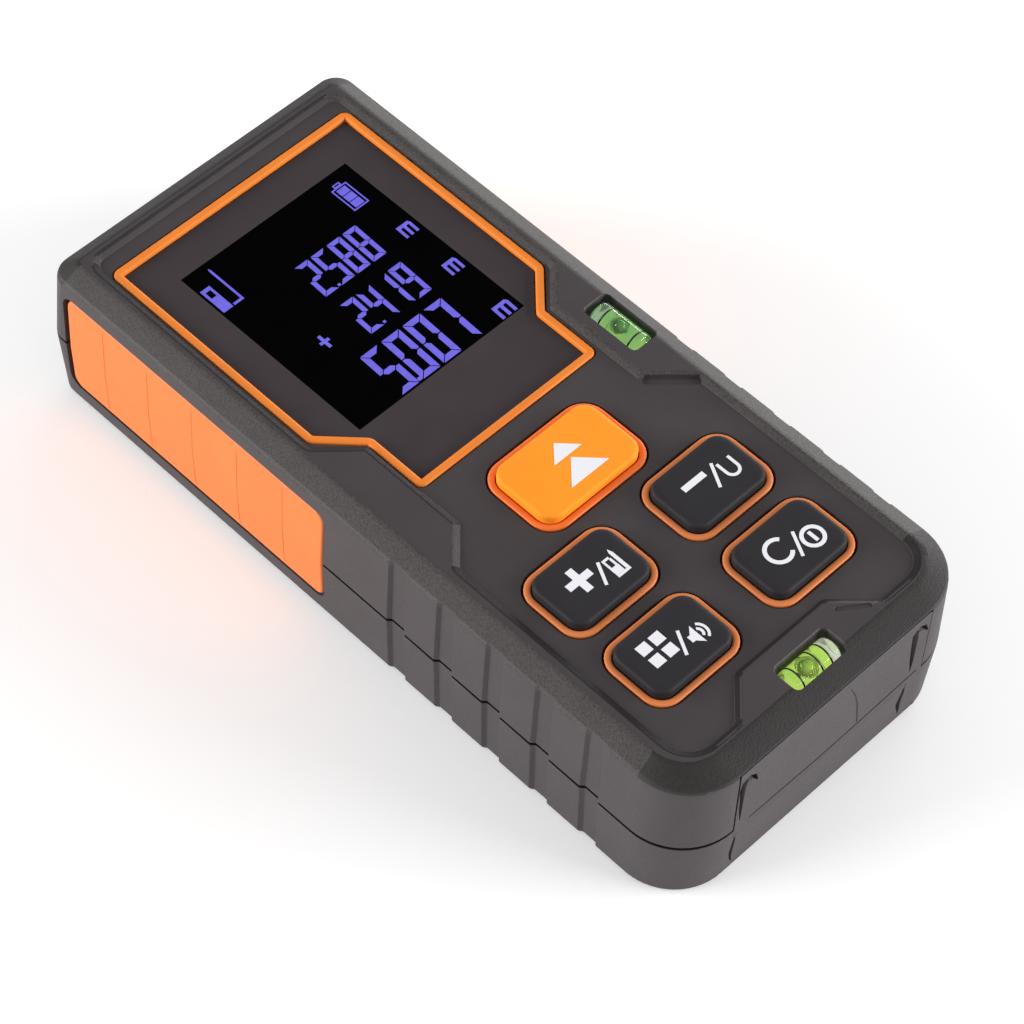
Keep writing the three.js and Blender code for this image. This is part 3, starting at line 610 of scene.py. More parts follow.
# levels of the casing: height, insets of the sides, near end and far end, and the ribs' depth
BASE_LEVELS = [
    (0, 1.3, 1.6, 1.6, 0.15), (0.15, 0.9, 1.2, 1.2, 0.25), (0.5, 0.5, 0.85, 0.85, 0.35),
    (1.1, 0.25, 0.6, 0.6, 0.4),
]
LOWER_LEVELS = BASE_LEVELS + [(PARTING_Z, 0, 0, 0, RIB_DEPTH)]
TOP_LEVELS = [
    (21.9, 0.36, 0, 0.7, 0.44), (22.5, 0.4, 0, 0.76, 0.42), (22.85, 0.46, 0.02, 0.84, 0.38),
    (23.05, 0.56, 0.09, 0.94, 0.2), (23.22, 0.78, 0.3, 1.15, 0.04), (24.25, 2.6, 2.75, 2.7, 0.02),
    (24.45, 3.0, 3.3, 3.1, 0.01), (24.53, 3.3, 3.7, 3.4, 0), (24.56, 3.65, 4.1, 3.75, 0),
]


def hull(levels, inset):
    """The casing's outer form, drawn in by inset."""
    return loft("hull", [casing_ring(z, x + inset, near + inset, far + inset, rib)
                         for z, x, near, far, rib in levels])


def insert_tool(name, grow, x_range, reach=0.0):
    """A side insert's outline as a solid from one X to another, its far end moved by reach."""
    (y0, y1), (z0, z1) = INSERT_Y, INSERT_Z
    y1 += reach
    corners = [(y1, z0, 1.7), (y1, z1, 1.7), (y0, z1, 1.4), (y0 + 0.35, z0, 1.3)]
    return prism(name, corners, [(x_range[0], grow), (x_range[1], grow)], to=facing_side)


def insert_pockets():
    inner = HALF_WIDTH - POCKET_DEPTH
    return [insert_tool("pocket", POCKET_GAP, span, POCKET_REACH)
            for span in ((inner, 30), (-30, -inner))]


def optics_port():
    """The opening that the front window looks out of."""
    return prism("optics_port", PORT, [
        (HALF_LENGTH - 5, 0), (HALF_LENGTH - 0.3, 0), (HALF_LENGTH + 0.1, 0.35), (60, 0.35)],
        to=facing_end)


def slot_tool(x, y, length, width, angle, depth):
    """A slot in the rim, turned in plan, with its lips broken."""
    tool = prism("slot", rectangle(0, 0, length, width, width * 0.3), [
        (24.5 - depth, -0.05), (24.38, 0), (24.5, 0.06), (24.62, 0.16), (27, 0.16)], steps=5)
    tool.data.transform(Matrix.Translation((x * MM, y * MM, 0)) @ Matrix.Rotation(angle, 4, "Z"))
    return tool


# the front shell's materials, in the order of its slots
SHELL_MATERIALS = (BODY, GRAIN, GRAIN_ENDS_PAINTED_SHADE, STEP, JOINT)
PLAIN, GRAINED, GRAINED_PAINTED_SHADE, STEP_SHADE, JOINT_SHADE = range(5)


def front_shell():
    """The upper shell: rim, deck, window seat, key wells, vial ports and the ribbed walls."""
    seam = PARTING_Z + SEAM_HALF_GAP
    levels = [(seam, 0.06, 0.06, 0.06, RIB_DEPTH), (seam + 0.07, 0, 0, 0, RIB_DEPTH)] + TOP_LEVELS
    shell = loft("front_shell_skin", [casing_ring(*level) for level in levels], BODY)
    for material in SHELL_MATERIALS[1:]:
        shell.data.materials.append(material)
    carve(shell, [prism("deck_pocket", DECK, [
        (DECK_Z, 0), (24.05, 0.05), (24.4, 0.62), (24.5, 0.85), (24.6, 1.25), (27, 1.25)])])
    seat = BEZEL_HALF + 0.17
    tools = [prism("window_seat", WINDOW, [
        (22.4, seat), (23.9, seat), (24.05, seat + 0.12), (27, seat + 0.12)])]
    for x, y, width, length, radius in KEYS.values():
        corners = rectangle(x, y, width, length, radius)
        tools.append(prism("key_well", corners, [
            (ROOF_Z - 1, 0.1), (DECK_Z - 0.15, 0.1), (DECK_Z + 0.05, 0.24), (27, 0.24)]))
    for port in (SIDE_PORT, END_PORT):
        tools.append(prism("vial_port", port, [
            (18.4, 0), (24.3, 0), (24.45, 0.05), (24.6, 0.2), (27, 0.2)]))
    tools.append(prism("cavity", rectangle(0, 0.6, 2 * (HALF_WIDTH - WALL), 105.8, 6.4), [
        (seam - 1, 0), (ROOF_Z, 0)]))
    tools.append(prism("screen_port", rectangle(*SCREEN, 1), [(ROOF_Z - 1, 0), (23, 0)]))
    tools.append(slot_tool(18.6, -11.5, 7.3, 1.3, -math.radians(43.7), 0.75))
    tools.append(slot_tool(9.3, -49.7, 4.4, 0.5, -math.radians(35), 0.1))
    notch = rectangle(0, -58, 2 * TONGUE_HALF_WIDTH + 0.6, 8.3, 0.3)
    tools.append(prism("tongue_notch", notch, [(5, 0), (TONGUE_TOP_Z + 0.35, 0)]))
    tools.append(optics_port())
    carve(shell, tools + insert_pockets())
    paint_grain_and_shade(shell)
    return fit(shell, "casing", "body_rubberised", "front_shell")


def paint_grain_and_shade(shell):
    """The rim's slopes carry a coarse grain, and the steps that turn away lie in shade."""
    for face in shell.data.polygons:
        middle = face.center / MM
        slope = 0.12 < face.normal.z < 0.985
        wall = middle.z > DECK_Z + 0.07 and abs(middle.x) > 15.2
        bevel = middle.z > 22.3 and (abs(middle.x) > 21.4 or abs(middle.y) > 51.8)
        # the grain on the slopes at the near and far ends is painted darker: painted shade
        painted_shade_end = middle.y < -45 or middle.y > 51.8
        inside = abs(middle.x) < 22 and abs(middle.y) < 52
        away = wall and inside and face.normal.x + face.normal.y > 0.05
        near_wall = (DECK_Z + 0.07 < middle.z < 24.45 and -52 < middle.y < -44
                     and face.normal.y > 0.05)
        if slope and (away or near_wall):
            face.material_index = STEP_SHADE
        elif slope and (wall or bevel):
            face.material_index = GRAINED_PAINTED_SHADE if painted_shade_end else GRAINED
        else:
            face.material_index = PLAIN
    paint_joint(shell, PARTING_Z + SEAM_HALF_GAP, JOINT_SHADE)


def paint_joint(shell, height, index):
    """The two shells' meeting faces lie in deep shade."""
    for face in shell.data.polygons:
        if abs(face.center.z / MM - height) < 0.06 and abs(face.normal.z) > 0.9:
            face.material_index = index


def rear_shell():
    """The lower shell: its lip in the seam, the tongue, the battery bay and the cover's rails."""
    seam = PARTING_Z - SEAM_HALF_GAP
    levels = BASE_LEVELS + [(seam - 0.07, 0, 0, 0, RIB_DEPTH), (seam, 0.06, 0.06, 0.06, RIB_DEPTH)]
    shell = loft("rear_shell_skin", [casing_ring(*level) for level in levels], BODY)
    lip_top = PARTING_Z + SEAM_HALF_GAP - LIP_GAP
    lip = loft("lip", [casing_ring(z, LIP_INSET, LIP_INSET, LIP_INSET, RIB_DEPTH)
                       for z in (seam - 0.5, lip_top)])
    carve(shell, [lip], "UNION")
    width = 2 * (HALF_WIDTH - WALL)
    carve(shell, [prism("cavity", rectangle(0, 0, width, 2 * (HALF_LENGTH - 2.4), 6.4), [
        (FLOOR_Z, 0), (seam + 1, 0)])])
    middle = (TONGUE_BACK_Y - HALF_LENGTH) / 2
    plate = rectangle(0.1, middle, 2 * TONGUE_HALF_WIDTH + 0.2, HALF_LENGTH + TONGUE_BACK_Y, 0.05)
    bay = rectangle(0, sum(BAY_Y) / 2, 2 * BAY_HALF_WIDTH + 2, BAY_Y[1] - BAY_Y[0] + 2, 1)
    carve(shell, [
        prism("tongue", plate, [(seam - 1.5, 0), (TONGUE_TOP_Z - 0.1, 0), (TONGUE_TOP_Z, -0.1)]),
        prism("bay_wall", bay, [(1, 0), (BAY_TOP_Z, 0)]),
    ], "UNION")
    bay = rectangle(0, sum(BAY_Y) / 2, 2 * BAY_HALF_WIDTH, BAY_Y[1] - BAY_Y[0], 0.5)
    tools = [prism("bay", bay, [(-1, 0), (BAY_TOP_Z + 1, 0)])]
    cover_middle = (COVER_FAR_Y - HALF_LENGTH - 2) / 2
    cover_length = COVER_FAR_Y + HALF_LENGTH + 2
    for half, bottom in ((COVER_HALF_WIDTH, COVER_Z[0]), (COVER_RAIL_HALF_WIDTH, COVER_Z[1])):
        channel = rectangle(0, cover_middle, 2 * half + 0.5, cover_length + 0.5, 0.3)
        tools.append(prism("channel", channel, [(bottom - 0.35, 0), (COVER_Z[2] + 0.25, 0)]))
    for x, y in CASE_SCREWS:
        well = [(2.7, -1), (2.5, 0.25), (2.3, 0.4), (2.3, 2.7)]
        tools.append(turned("screw_well", well, (x, y, 0), "z"))
    tools.append(optics_port())
    tools += tongue_grooves()
    carve(shell, tools + insert_pockets())
    shell.data.materials.append(JOINT)
    dark = len(shell.data.materials) - 1
    paint_joint(shell, seam, dark)
    for face in shell.data.polygons:
        middle = face.center / MM
        tongue = abs(middle.x) < TONGUE_HALF_WIDTH + 0.2 and middle.y < 0
        if seam + 0.05 < middle.z < lip_top + 0.02 and not tongue:
            face.material_index = dark
    return fit(shell, "casing", "body_rubberised", "rear_shell")


def groove(points, depth):
    """A tapering groove in the near end, with sloping walls, along points (X, Z, width)."""
    rings = []
    for share, y in ((1, -HALF_LENGTH - 1), (1, -HALF_LENGTH - 0.02), (0.35, -HALF_LENGTH + depth)):
        left, right = [], []
        for i, (x, z, width) in enumerate(points):
            before = Vector(points[max(i - 1, 0)][:2])
            after = Vector(points[min(i + 1, len(points) - 1)][:2])
            along = (after - before).normalized()
            across = Vector((-along.y, along.x)) * width / 2 * share
            left.append((x + across.x, z + across.y))
            right.append((x - across.x, z - across.y))
        rings.append([facing_end(p, y) for p in left + right[::-1]])
    return loft("groove", rings)


def tongue_grooves():
    """The hooked grooves on the near end, the false parting between them, and a moulding line."""
    return [
        groove([(-13.3, 19, 0.15), (-13.9, 20.3, 0.8), (-14.9, 21, 1.05), (-15.6, 20.7, 1.15),
                (-15.85, 19.5, 1.05), (-15.8, 17.5, 0.75), (-15.75, 14.7, 0.5),
                (-15.6, 12.4, 0.12)], 0.8),
        groove([(-15.95, 9.7, 0.1), (-15.95, 7.4, 0.7), (-16.05, 5.3, 0.85), (-15.85, 3.6, 0.55),
                (-15.5, 2.4, 0.1)], 0.9),
        groove([(16.3, 19.3, 0.15), (15.6, 20.6, 0.8), (14.6, 21.1, 1.1), (13.95, 20.6, 1.2),
                (14.05, 19.4, 1.2), (14.1, 17.5, 1.05), (14.2, 14.7, 0.7),
                (14.3, 12.4, 0.12)], 0.8),
        groove([(14, 9.9, 0.1), (13.95, 7.5, 0.9), (13.7, 5.7, 1.25), (13.85, 4.7, 1),
                (14.15, 3.4, 0.6), (14.3, 2.4, 0.1)], 0.9),
        groove([(-13.9, 11.2, 0.3), (-8, 11, 0.4), (-1.5, 10.8, 0.4), (6, 10.95, 0.4),
                (15.6, 11.3, 0.4)], 0.45),
        groove([(2.4, 21.2, 0.1), (3.5, 18.6, 0.4), (4.2, 16.1, 0.5), (4.9, 11.6, 0.3)], 0.12),
    ]


def side_insert(side):
    """A curved orange plate with fine upright grooves, flush with the casing's side."""
    name = "left" if side < 0 else "right"
    inner = HALF_WIDTH - INSERT_THICKNESS
    span = (-27, -inner) if side < 0 else (inner, 27)
    plate = insert_tool(f"side_insert_{name}_plate", 0, span)
    plate.data.materials.append(SIDE_ORANGE)
    levels = LOWER_LEVELS + TOP_LEVELS
    carve(plate, [hull(levels, 0)], "INTERSECT")
    soften(plate, 0.45, 3)
    middle_y, middle_z = sum(INSERT_Y) / 2, sum(INSERT_Z) / 2
    for i in range(1, INSERT_PARTS):
        y = middle_y + (i - INSERT_PARTS / 2) * INSERT_PITCH
        corners = rectangle(y, middle_z, 0.42, INSERT_Z[1] - INSERT_Z[0] - 2, 0.05)
        depths = [(side * 23, 0), (side * 27, 0)][::side]
        line = prism("line", corners, depths, SIDE_ORANGE, to=facing_side, steps=1)
        carve(line, [hull(levels, 0.035)])
        carve(plate, [line])
    return fit(plate, "casing", "insert_orange", f"side_insert_{name}")


# -------- display


def display():
    """The bezel, the dark mask round the screen, the screen and its lit figures."""
    half = BEZEL_HALF
    bezel = ring_sweep("display_bezel_frame", WINDOW, [
        (half - 0.05, 22.6), (half, 23.9), (half - 0.07, 24.07), (half - 0.25, 24.17),
        (0.2, BEZEL_TOP_Z), (-0.2, BEZEL_TOP_Z), (-half + 0.25, 24.17), (-half + 0.07, 24.07),
        (-half, 23.9), (-half + 0.05, 22.6)], BEZEL_ORANGE)
    fit(bezel, "casing", "bezel_orange", "display_bezel", angle=50)
    edge = -half - 0.08
    mask = prism("display_mask_panel", WINDOW, [
        (22.5, edge), (PANEL_TOP_Z - 0.08, edge), (PANEL_TOP_Z, edge - 0.08)], PANEL)
    carve(mask, [prism("screen_cut", rectangle(*SCREEN, 0.05), [(20, 0), (30, 0)], steps=2)])
    fit(mask, "casing", "display_window", "display_window")
    screen = prism("display_screen", rectangle(*SCREEN, 0.05), [
        (22.6, -0.02), (PANEL_TOP_Z - 0.03, -0.02)], SCREEN_BLACK, steps=2)
    fit(screen, "casing", "lcd")
    figures = join("display_figures", readout())
    fit(figures, "casing", "lcd")


def polygon(points, layer):
    """A flat shape in a layer: the print on the keys, or the lit figures."""
    heights, material = layer
    return loft("shape", [[flat(p, h) for p in points] for h in heights], material)


def block(x0, y0, x1, y1, layer):
    return polygon([(x0, y0), (x1, y0), (x1, y1), (x0, y1)], layer)


def arc_points(centre, radius, start, end, steps):
    """Points along an arc, from one angle to another, in radians."""
    points = []
    for i in range(steps + 1):
        a = start + (end - start) * i / steps
        points.append((centre[0] + radius * math.cos(a), centre[1] + radius * math.sin(a)))
    return points


def arc_band(centre, radius, width, start, end):
    """Part of a ring, from one angle to another, in degrees."""
    start, end = math.radians(start), math.radians(end)
    outer = arc_points(centre, radius + width / 2, start, end, 24)
    inner = arc_points(centre, radius - width / 2, end, start, 24)
    return polygon(outer + inner, INK)


SEGMENTS = {"0": "abcdef", "1": "bc", "2": "abged", "4": "fgbc", "5": "afgcd", "7": "abc",
            "8": "abcdefg", "9": "abcdfg"}


def digit(figure, x, y, width, height, bar):
    """A seven-segment figure with mitred bars; x, y is its outer lower left corner."""
    gap = bar * 0.1
    half = height / 2
    small = bar * 0.5
    left, right = bar + gap, width - bar - gap
    above, below = half + small + gap, half - small - gap
    shapes = {
        "a": [(gap, height), (left, height - bar), (right, height - bar), (width - gap, height)],
        "d": [(gap, 0), (width - gap, 0), (right, bar), (left, bar)],
        "f": [(0, height - gap), (0, half + gap), (small, half + gap), (bar, above),
              (bar, height - bar - gap)],
        "e": [(0, gap), (bar, left), (bar, below), (small, half - gap), (0, half - gap)],
        "b": [(width, height - gap), (width - bar, height - bar - gap), (width - bar, above),
              (width - small, half + gap), (width, half + gap)],
        "c": [(width, gap), (width, half - gap), (width - small, half - gap),
              (width - bar, below), (width - bar, left)],
        "g": [(small + gap, half), (left, half - small), (right, half - small),
              (width - small - gap, half), (right, half + small), (left, half + small)],
    }
    made = []
    for name in SEGMENTS[figure]:
        points = [(x + u + FIGURE_LEAN * v, y + v) for u, v in shapes[name]]
        turn = sum(points[i - 1][0] * p[1] - p[0] * points[i - 1][1] for i, p in enumerate(points))
        made.append(polygon(points if turn > 0 else points[::-1], LIT))
    return made


def number(text, x, y, pitch, width, height, bar):
    """Figures side by side from x; a point takes no room of its own."""
    made = []
    start = x
    for letter in text:
        if letter == ".":
            middle = start - (pitch - width) / 2 + 0.05
            half = 0.3 * bar
            low = y + 0.1
            made.append(block(middle - half, low, middle + half, low + 2 * half, LIT))
            continue
        made += digit(letter, start, y, width, height, bar)
        start += pitch
    return made


def frame_lines(x0, y0, x1, y1, width):
    """A lit rectangle's outline, drawn inside its edges."""
    corners = [(x1, y0, 0.02), (x1, y1, 0.02), (x0, y1, 0.02), (x0, y0, 0.02)]
    low, high = FIGURE_Z
    section = [(0, low), (0, high), (-width, high), (-width, low)]
    return ring_sweep("frame_lines", corners, section, FIGURES, steps=1)


def metre_letter(x, y, width, height):
    """A small m with three legs and rounded shoulders."""
    leg = width * 0.19
    gap = (width - 3 * leg) / 2
    arch = height * 0.76
    points = [(0, 0), (leg, 0), (leg, arch * 0.94), (leg * 1.3, arch), (leg + gap, arch),
              (leg + gap, 0), (2 * leg + gap, 0), (2 * leg + gap, arch * 0.94),
              (leg * 2.3 + gap, arch), (width - leg, arch), (width - leg, 0), (width, 0),
              (width, height * 0.8), (width - leg * 0.6, height), (0, height)]
    return polygon([(x + u + FIGURE_LEAN * v, y + v) for u, v in points], LIT)


def plus_sign(x, y, reach, rise, width, layer):
    w = width / 2
    points = [(w, -rise), (w, -w), (reach, -w), (reach, w), (w, w), (w, rise)]
    points += [(-w, rise), (-w, w), (-reach, w), (-reach, -w), (-w, -w), (-w, -rise)]
    return polygon([(x + u, y + v) for u, v in points], layer)


def readout():
    """The lit figures: three lengths, their unit, a plus sign, a battery and the device mark."""
    made = number("2.588", -2.8, 27.75, 2.74, 2.25, 6.05, 0.66)
    made += number("2.419", -2.8, 19.55, 2.74, 2.25, 5.95, 0.66)
    made += number("5.007", -6.7, 10.0, 3.62, 3.0, 7.8, 0.88)
    made += [metre_letter(11.1, 27.65, 2.2, 2.15), metre_letter(11.05, 19.3, 2.2, 2.2)]
    made.append(metre_letter(10.65, 9.9, 2.55, 2.25))
    made.append(plus_sign(-7.8, 22.65, 0.73, 1.15, 0.46, LIT))
    made.append(frame_lines(9.45, 35.5, 12, 39.95, 0.2))
    made.append(frame_lines(10.15, 39.97, 11.3, 40.55, 0.18))
    for i in range(3):
        low = 35.85 + i * 1.28
        made.append(block(9.98, low, 11.48, low + 1.14, LIT))
    for corners in ((-13.7, 34.6, -12.15, 37.3), (-13.7, 37.32, -13.32, 39.1),
                    (-12.5, 37.32, -12.15, 39.1), (-13.3, 38.5, -12.52, 39.1)):
        made.append(block(*corners, LIT))
    beam = [(-11.9, 34.6), (-10.3, 34.6), (-10.3, 40.8), (-10.46, 41.25), (-10.62, 40.8),
            (-10.62, 34.98), (-11.9, 34.98)]
    made.append(polygon(beam, LIT))
    return made


# -------- keypad


def keypad():
    """The silicone mat: a sheet under the face with a raised orange ring round each key."""
    sheet = rectangle(0, -24.8, 36, 40.4, 2)
    mat = prism("keypad_rings", sheet, [(20.3, 0), (20.9, 0)], RING_ORANGE)
    tools = [prism("key_hole", rectangle(*key), [(19, -RING_WIDTH), (22, -RING_WIDTH)])
             for key in KEYS.values()]
    for side in (-1, 1):
        gap = rectangle(side * 15.4, -6, 6.4, 4.4, 0.3)
        tools.append(prism("boss_gap", gap, [(19, 0), (22, 0)]))
    carve(mat, tools)
    rings = []
    for key in KEYS.values():
        rings.append(ring_sweep("ring", rectangle(*key), [
            (-0.18, 20.5), (-0.14, 23.82), (-0.18, 23.96), (-0.29, 24.04), (-0.45, RING_TOP_Z),
            (-0.75, RING_TOP_Z), (-0.91, 24.04), (-1.01, 23.95), (-RING_WIDTH, 23.8),
            (-RING_WIDTH, 20.5)]))
    carve(mat, rings, "UNION")
    mat.data.materials.append(RING_BRIGHT)
    bright = len(mat.data.materials) - 1
    for face in mat.data.polygons:
        middle = face.center / MM
        face.material_index = bright if middle.z > 21 and middle.y > -18.6 else 0
    fit(mat, "casing", "ring_orange", "keypad_mat", angle=50)
    for name, key in KEYS.items():
        key_cap(name, key)


def key_cap(name, key):
    """A pillowed key with a skirt through its ring, and the legend printed on it."""
    corners = rectangle(*key)
    inset = RING_WIDTH + KEY_GAP
    top = KEY_TOP_Z
    profile = [(19.4, 0.9), (20.0, 0.9), (20.05, 0), (top - 0.62, 0), (top - 0.42, -0.04),
               (top - 0.27, -0.12), (top - 0.16, -0.25), (top - 0.08, -0.43), (top - 0.04, -0.7),
               (top - 0.02, -1.2), (top, -2.2)]
    material, slot = (KEY_ORANGE, "key_orange") if name == "measure" else (KEY_BLACK, "key_black")
    levels = [(z, grow - inset) for z, grow in profile]
    cap = prism(f"key_{name}_cap", corners, levels, material, steps=12)
    body = f"key_{name}"
    fit(cap, body, slot, body, angle=60)
    marks = LEGENDS[name]()
    for mark in marks:
        place = ((key[0] + LEGEND_SHIFT[0]) * MM, (key[1] + LEGEND_SHIFT[1]) * MM, 0)
        mark.data.transform(Matrix.Translation(place))
    fit(join(f"legend_{name}", marks), body, "key_black")


def slash(top, bottom):
    """A straight bar between two points."""
    a, b = Vector(top), Vector(bottom)
    along = (b - a).normalized()
    across = Vector((-along.y, along.x)) * LINE / 2
    return polygon([a - across, a + across, b + across, b - across], INK)


def legend_measure():
    small = polygon([(-1.75, 0.5), (2.95, 0.5), (0.57, 2.96)], INK)
    large = polygon([(-2.6, -3.28), (3.8, -3.28), (0.58, 0.06)], INK)
    return [small, large]


def legend_minus():
    bar = block(-3.3, 0.6, 0.4, 1.5, INK)
    middle, radius, top = (3.35, -0.75), 0.94, 0.95
    outer, inner = radius + LINE / 2, radius - LINE / 2
    bend = [(middle[0] - outer, top)]
    bend += arc_points(middle, outer, math.pi, 2 * math.pi, 16)
    bend += [(middle[0] + outer, top), (middle[0] + inner, top)]
    bend += arc_points(middle, inner, 2 * math.pi, math.pi, 16)
    bend.append((middle[0] - inner, top))
    return [bar, slash((2.05, 1.55), (0.29, -1.71)), polygon(bend, INK)]


def legend_power():
    clear = arc_band((-1.55, 0.4), 1.68, 0.56, 40, 320)
    ring = ring_sweep("ring", rectangle(3.0, -0.98, 3.34, 3.34, 1.67), [
        (0, LEGEND_Z[0]), (0, LEGEND_Z[1]), (-0.53, LEGEND_Z[1]), (-0.53, LEGEND_Z[0])], PRINT)
    bar = block(2.76, -1.78, 3.26, -0.16, INK)
    return [clear, slash((1.69, 1.18), (0.01, -2.12)), ring, bar]


def legend_plus():
    """A plus sign, a slash and the instrument: a body with a window, and a beam at its right."""
    marks = [plus_sign(-1.5, 0.5, 1.9, 1.9, 1.05, INK), slash((1.87, 0.79), (0.36, -2.2))]
    left, low, right, high = 2.2, -2.5, 4.25, 0.56
    for corners in ((left, low, right, -2.12), (left, -2.1, 3.5, -0.95), (left, -0.93, 2.5, high),
                    (2.52, 0.22, 3.3, high), (3.14, -0.93, 3.46, 0.2)):
        marks.append(block(*corners, INK))
    beam = [(3.76, -2.1), (right, -2.1), (right, 0.6), (4.0, 1.35), (3.76, 0.8)]
    marks.append(polygon(beam, INK))
    return marks


def legend_mode():
    squares = []
    for x in (-3.0, -0.83):
        for y in (-0.42, 1.75):
            squares.append(block(x - 0.8, y - 0.78, x + 0.8, y + 0.78, INK))
    horn = polygon([(1.77, -1.58), (2.22, -1.58), (3.1, -2.53), (3.1, 0.37), (2.22, -0.58),
                    (1.77, -0.58)], INK)
    waves = [arc_band((3.0, -1.08), radius, 0.36, -55, 55) for radius in (0.75, 1.4)]
    return squares + [slash((1.64, 0.86), (0, -2.26)), horn] + waves


LEGENDS = {"measure": legend_measure, "minus": legend_minus, "power": legend_power,
           "plus": legend_plus, "mode": legend_mode}

# -------- vials


def tube_profile(radius, low, high, low_dome, high_dome):
    """A tube's (radius, place) from one rounded end to the other."""
    turns = [i / 9 * math.pi / 2 for i in range(1, 10)]
    first = [(radius * math.sin(a), low + low_dome * (1 - math.cos(a))) for a in turns]
    last = [(radius * math.sin(a), high - high_dome * (1 - math.cos(a))) for a in turns]
    return first + last[::-1]


def vial(name, centre, length, axis, spirit, plug_material, rings, bubble):
    """A tube of tinted liquid with printed rings, an air bubble and a clear plug at its far end.

    Along the tube from its middle: the rings' places, and the bubble's (place, half length,
    radius).
    """
    middle = (*centre, VIAL_TOP_Z - VIAL_RADIUS)
    half = length / 2
    plug = max(rings)
    profile = tube_profile(VIAL_RADIUS, -half, plug - 0.02, 0.75, 0.1)
    tube = turned(f"{name}_liquid", profile, middle, axis, spirit, 64)
    place, reach, size = bubble
    turns = [i / 14 * math.pi for i in range(1, 14)]
    air = [(size * math.sin(a), place - reach * math.cos(a)) for a in turns]
    high = (middle[0], middle[1], middle[2] + VIAL_RADIUS - size - 0.16)
    carve(tube, [turned("bubble", air, high, axis, None, 40)])
    air = [(radius * 0.96, at) for radius, at in air]
    place_in = ("casing", "vial")
    fit(turned(f"{name}_bubble", air, high, axis, BUBBLE_PAINTED_LIGHT, 40), *place_in, angle=60)
    fit(tube, *place_in, name, angle=60)
    profile = tube_profile(VIAL_RADIUS, plug + 0.02, half, 0.1, 0.75)
    fit(turned(f"{name}_plug", profile, middle, axis, plug_material, 64), *place_in, angle=60)
    bands = []
    for place in rings:
        start, end = place - 0.12, place + 0.12
        skin, under = VIAL_RADIUS + 0.01, VIAL_RADIUS - 0.04
        crown = (VIAL_RADIUS + 0.04, place)
        section = [(skin, start), crown, (skin, end), (under, end), (under, start)]
        bands.append(loft("band", revolved(section, middle, axis, 48), VIAL_RING, closed=True))
    fit(join(f"{name}_rings", bands), *place_in, angle=60)


def vials():
    vial("side_vial", SIDE_VIAL, 8.4, "y", LIQUID_SIDE, PLUG_SIDE, (-2.75, 2.25),
         (0.05, 1.25, 1.05))
    vial("end_vial", END_VIAL, 8.3, "x", LIQUID_END, PLUG_END, (-2.7, 0.5, 2.1),
         (-0.6, 1.45, 1.25))


# -------- optics, cover, small parts


def far_end():
    """The front bezel, its window and the two lenses behind it."""
    front = HALF_LENGTH - 0.1
    trim = ring_sweep("front_trim_frame", PORT, [
        (-0.3, front - 1.9), (-0.3, front - 0.2), (-0.45, front - 0.04), (-0.7, front),
        (-1.4, front - 0.05), (-1.8, front - 0.3), (-2.3, front - 0.9), (-2.3, front - 1.9)],
        TRIM, to=facing_end)
    fit(trim, "casing", "front_trim", "front_bezel", angle=50)
    glass = prism("front_window_glass", PORT, [
        (front - 1.75, -2.4), (front - 0.95, -2.4), (front - 0.85, -2.5)], CLEAR, to=facing_end)
    fit(glass, "casing", "lens", "front_window")
    for name, x, y, radius, thick in (("receiver_lens", RECEIVER_X, 49.2, 5.4, 3),
                                      ("collimator_lens", LASER_X, 49.8, 1.85, 1.6)):
        profile = [(radius * 0.2, 0), (radius, 0), (radius, thick * 0.5)]
        for i in range(1, 9):
            a = i / 9 * math.pi / 2
            profile.append((radius * math.cos(a), thick * 0.5 + thick * 0.5 * math.sin(a)))
        lens = turned(f"{name}_glass", profile, (x, y, OPTICS_Z), "y", LENS)
        fit(lens, "casing", "lens", name, angle=50)


def battery_cover():
    """A plate with a thin rail along each side, finger grips and a shallow panel."""
    cover_length = COVER_FAR_Y + HALF_LENGTH + 2
    middle = (COVER_FAR_Y - HALF_LENGTH - 2) / 2
    panel = rectangle(0, middle, 2 * COVER_HALF_WIDTH, cover_length, 0.2)
    plate = prism("battery_cover_plate", panel, [(COVER_Z[0], 0), (COVER_Z[2], 0)], BODY)
    rail = rectangle(0, middle, 2 * COVER_RAIL_HALF_WIDTH, cover_length, 0.2)
    carve(plate, [prism("rail", rail, [(COVER_Z[1], 0), (COVER_Z[2], 0)])], "UNION")
    carve(plate, [hull(LOWER_LEVELS, 0.05)], "INTERSECT")
    soften(plate, 0.12)
    grips = []
    for i in range(7):
        y = -18 + i * 1.6
        reach = 8 - abs(i - 3) * 0.9
        grips.append(prism("grip", rectangle(0, y, 2 * reach, 0.7, 0.3), [
            (-1, 0), (0.35, 0), (0.45, -0.15)]))
    grips.append(prism("panel", rectangle(0, -37, 24, 22, 1.2), [(-1, 0), (0.22, 0)]))
    carve(plate, grips)
    fit(plate, "battery_cover", "body_rubberised", "battery_cover")


# -------- floor, light and camera

FLOOR_HALF_SIZE = 4000
FLOOR_GLOW = 0.17
WORLD_STRENGTH = 0.47
CAMERA_LENS = 123.55
CAMERA_PLACE = (-0.1891, -0.1803, 0.3633)
CAMERA_TURN = (35.916, -1.467, -44.8205)
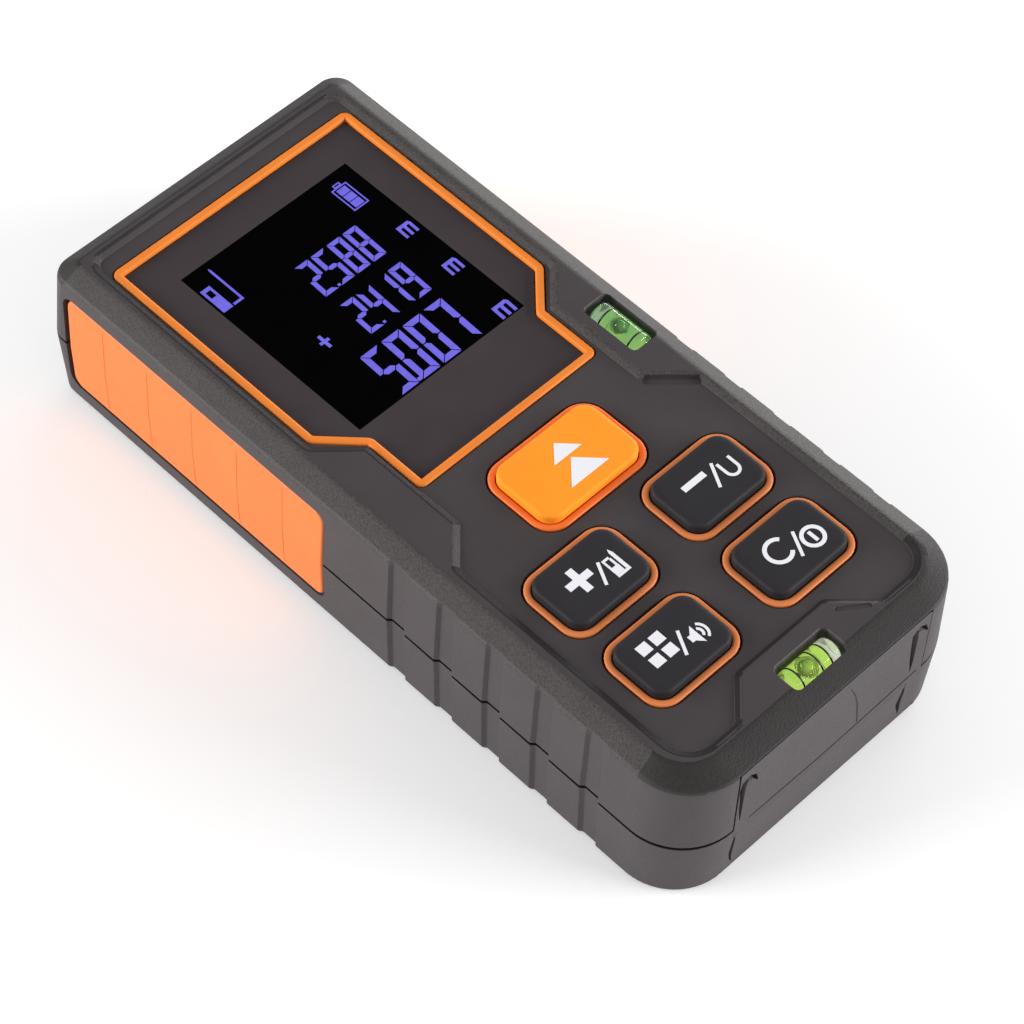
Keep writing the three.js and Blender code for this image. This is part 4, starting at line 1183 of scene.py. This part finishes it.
# name, azimuth and elevation in degrees, distance in metres, watts, and width and height
SOFT_BOXES = [
    ("left_box", 141, 15, 1.3, 21, (1.0, 0.45)),
    ("right_box", -51, 15, 1.3, 21, (1.0, 0.45)),
    ("rim_box", 15, 4, 1.3, 12, (1.2, 0.3)),
]


def stage():
    """The floor and the even light all round."""
    material, tree, shader = nodes_of("studio_floor")
    mottle = remap(tree, noise(tree, 400), 0, 1)
    tint = mix_colours(tree, mottle, (0.94, 0.94, 0.94), (0.96, 0.96, 0.96))
    give(tree, shader, {"Base Color": tint, "Emission Color": tint,
                        "Emission Strength": FLOOR_GLOW, "Roughness": 0.8})
    reach = FLOOR_HALF_SIZE
    corners = [(-reach, -reach, 0), (reach, -reach, 0), (reach, reach, 0), (-reach, reach, 0)]
    floor = mesh_piece("studio_floor", corners, [(0, 1, 2, 3)], material)
    world = bpy.data.worlds.new("studio")
    world.use_nodes = True
    background = world.node_tree.nodes["Background"]
    background.inputs["Color"].default_value = (1, 1, 1, 1)
    background.inputs["Strength"].default_value = WORLD_STRENGTH
    bpy.context.scene.world = world
    bpy.context.scene.view_settings.view_transform = "Standard"


def area_light(name, azimuth, elevation, distance, power, size):
    """A soft box of size (width, height) aimed at the piece; azimuth 0 is towards +X."""
    data = bpy.data.lights.new(name, "AREA")
    data.energy = power
    data.shape = "RECTANGLE"
    data.size, data.size_y = size
    around, up = math.radians(azimuth), math.radians(elevation)
    flat_share = math.cos(up)
    direction = Vector((math.cos(around) * flat_share, math.sin(around) * flat_share, math.sin(up)))
    light = placed(name, data)
    light.location = direction * distance + Vector((0, 0, 0.012))
    light.rotation_mode = "QUATERNION"
    light.rotation_quaternion = direction.to_track_quat("Z", "Y")


def camera():
    data = bpy.data.cameras.new("camera")
    data.sensor_width = 36
    data.lens = CAMERA_LENS
    data.clip_start = 0.01
    eye = placed("camera", data)
    eye.location = CAMERA_PLACE
    eye.rotation_euler = [math.radians(a) for a in CAMERA_TURN]
    bpy.context.scene.camera = eye


camera()
stage()
for box in SOFT_BOXES:
    area_light(*box)
dress_nodes()
front_shell()
rear_shell()
for hand in (-1, 1):
    side_insert(hand)
display()
keypad()
vials()
far_end()
battery_cover()
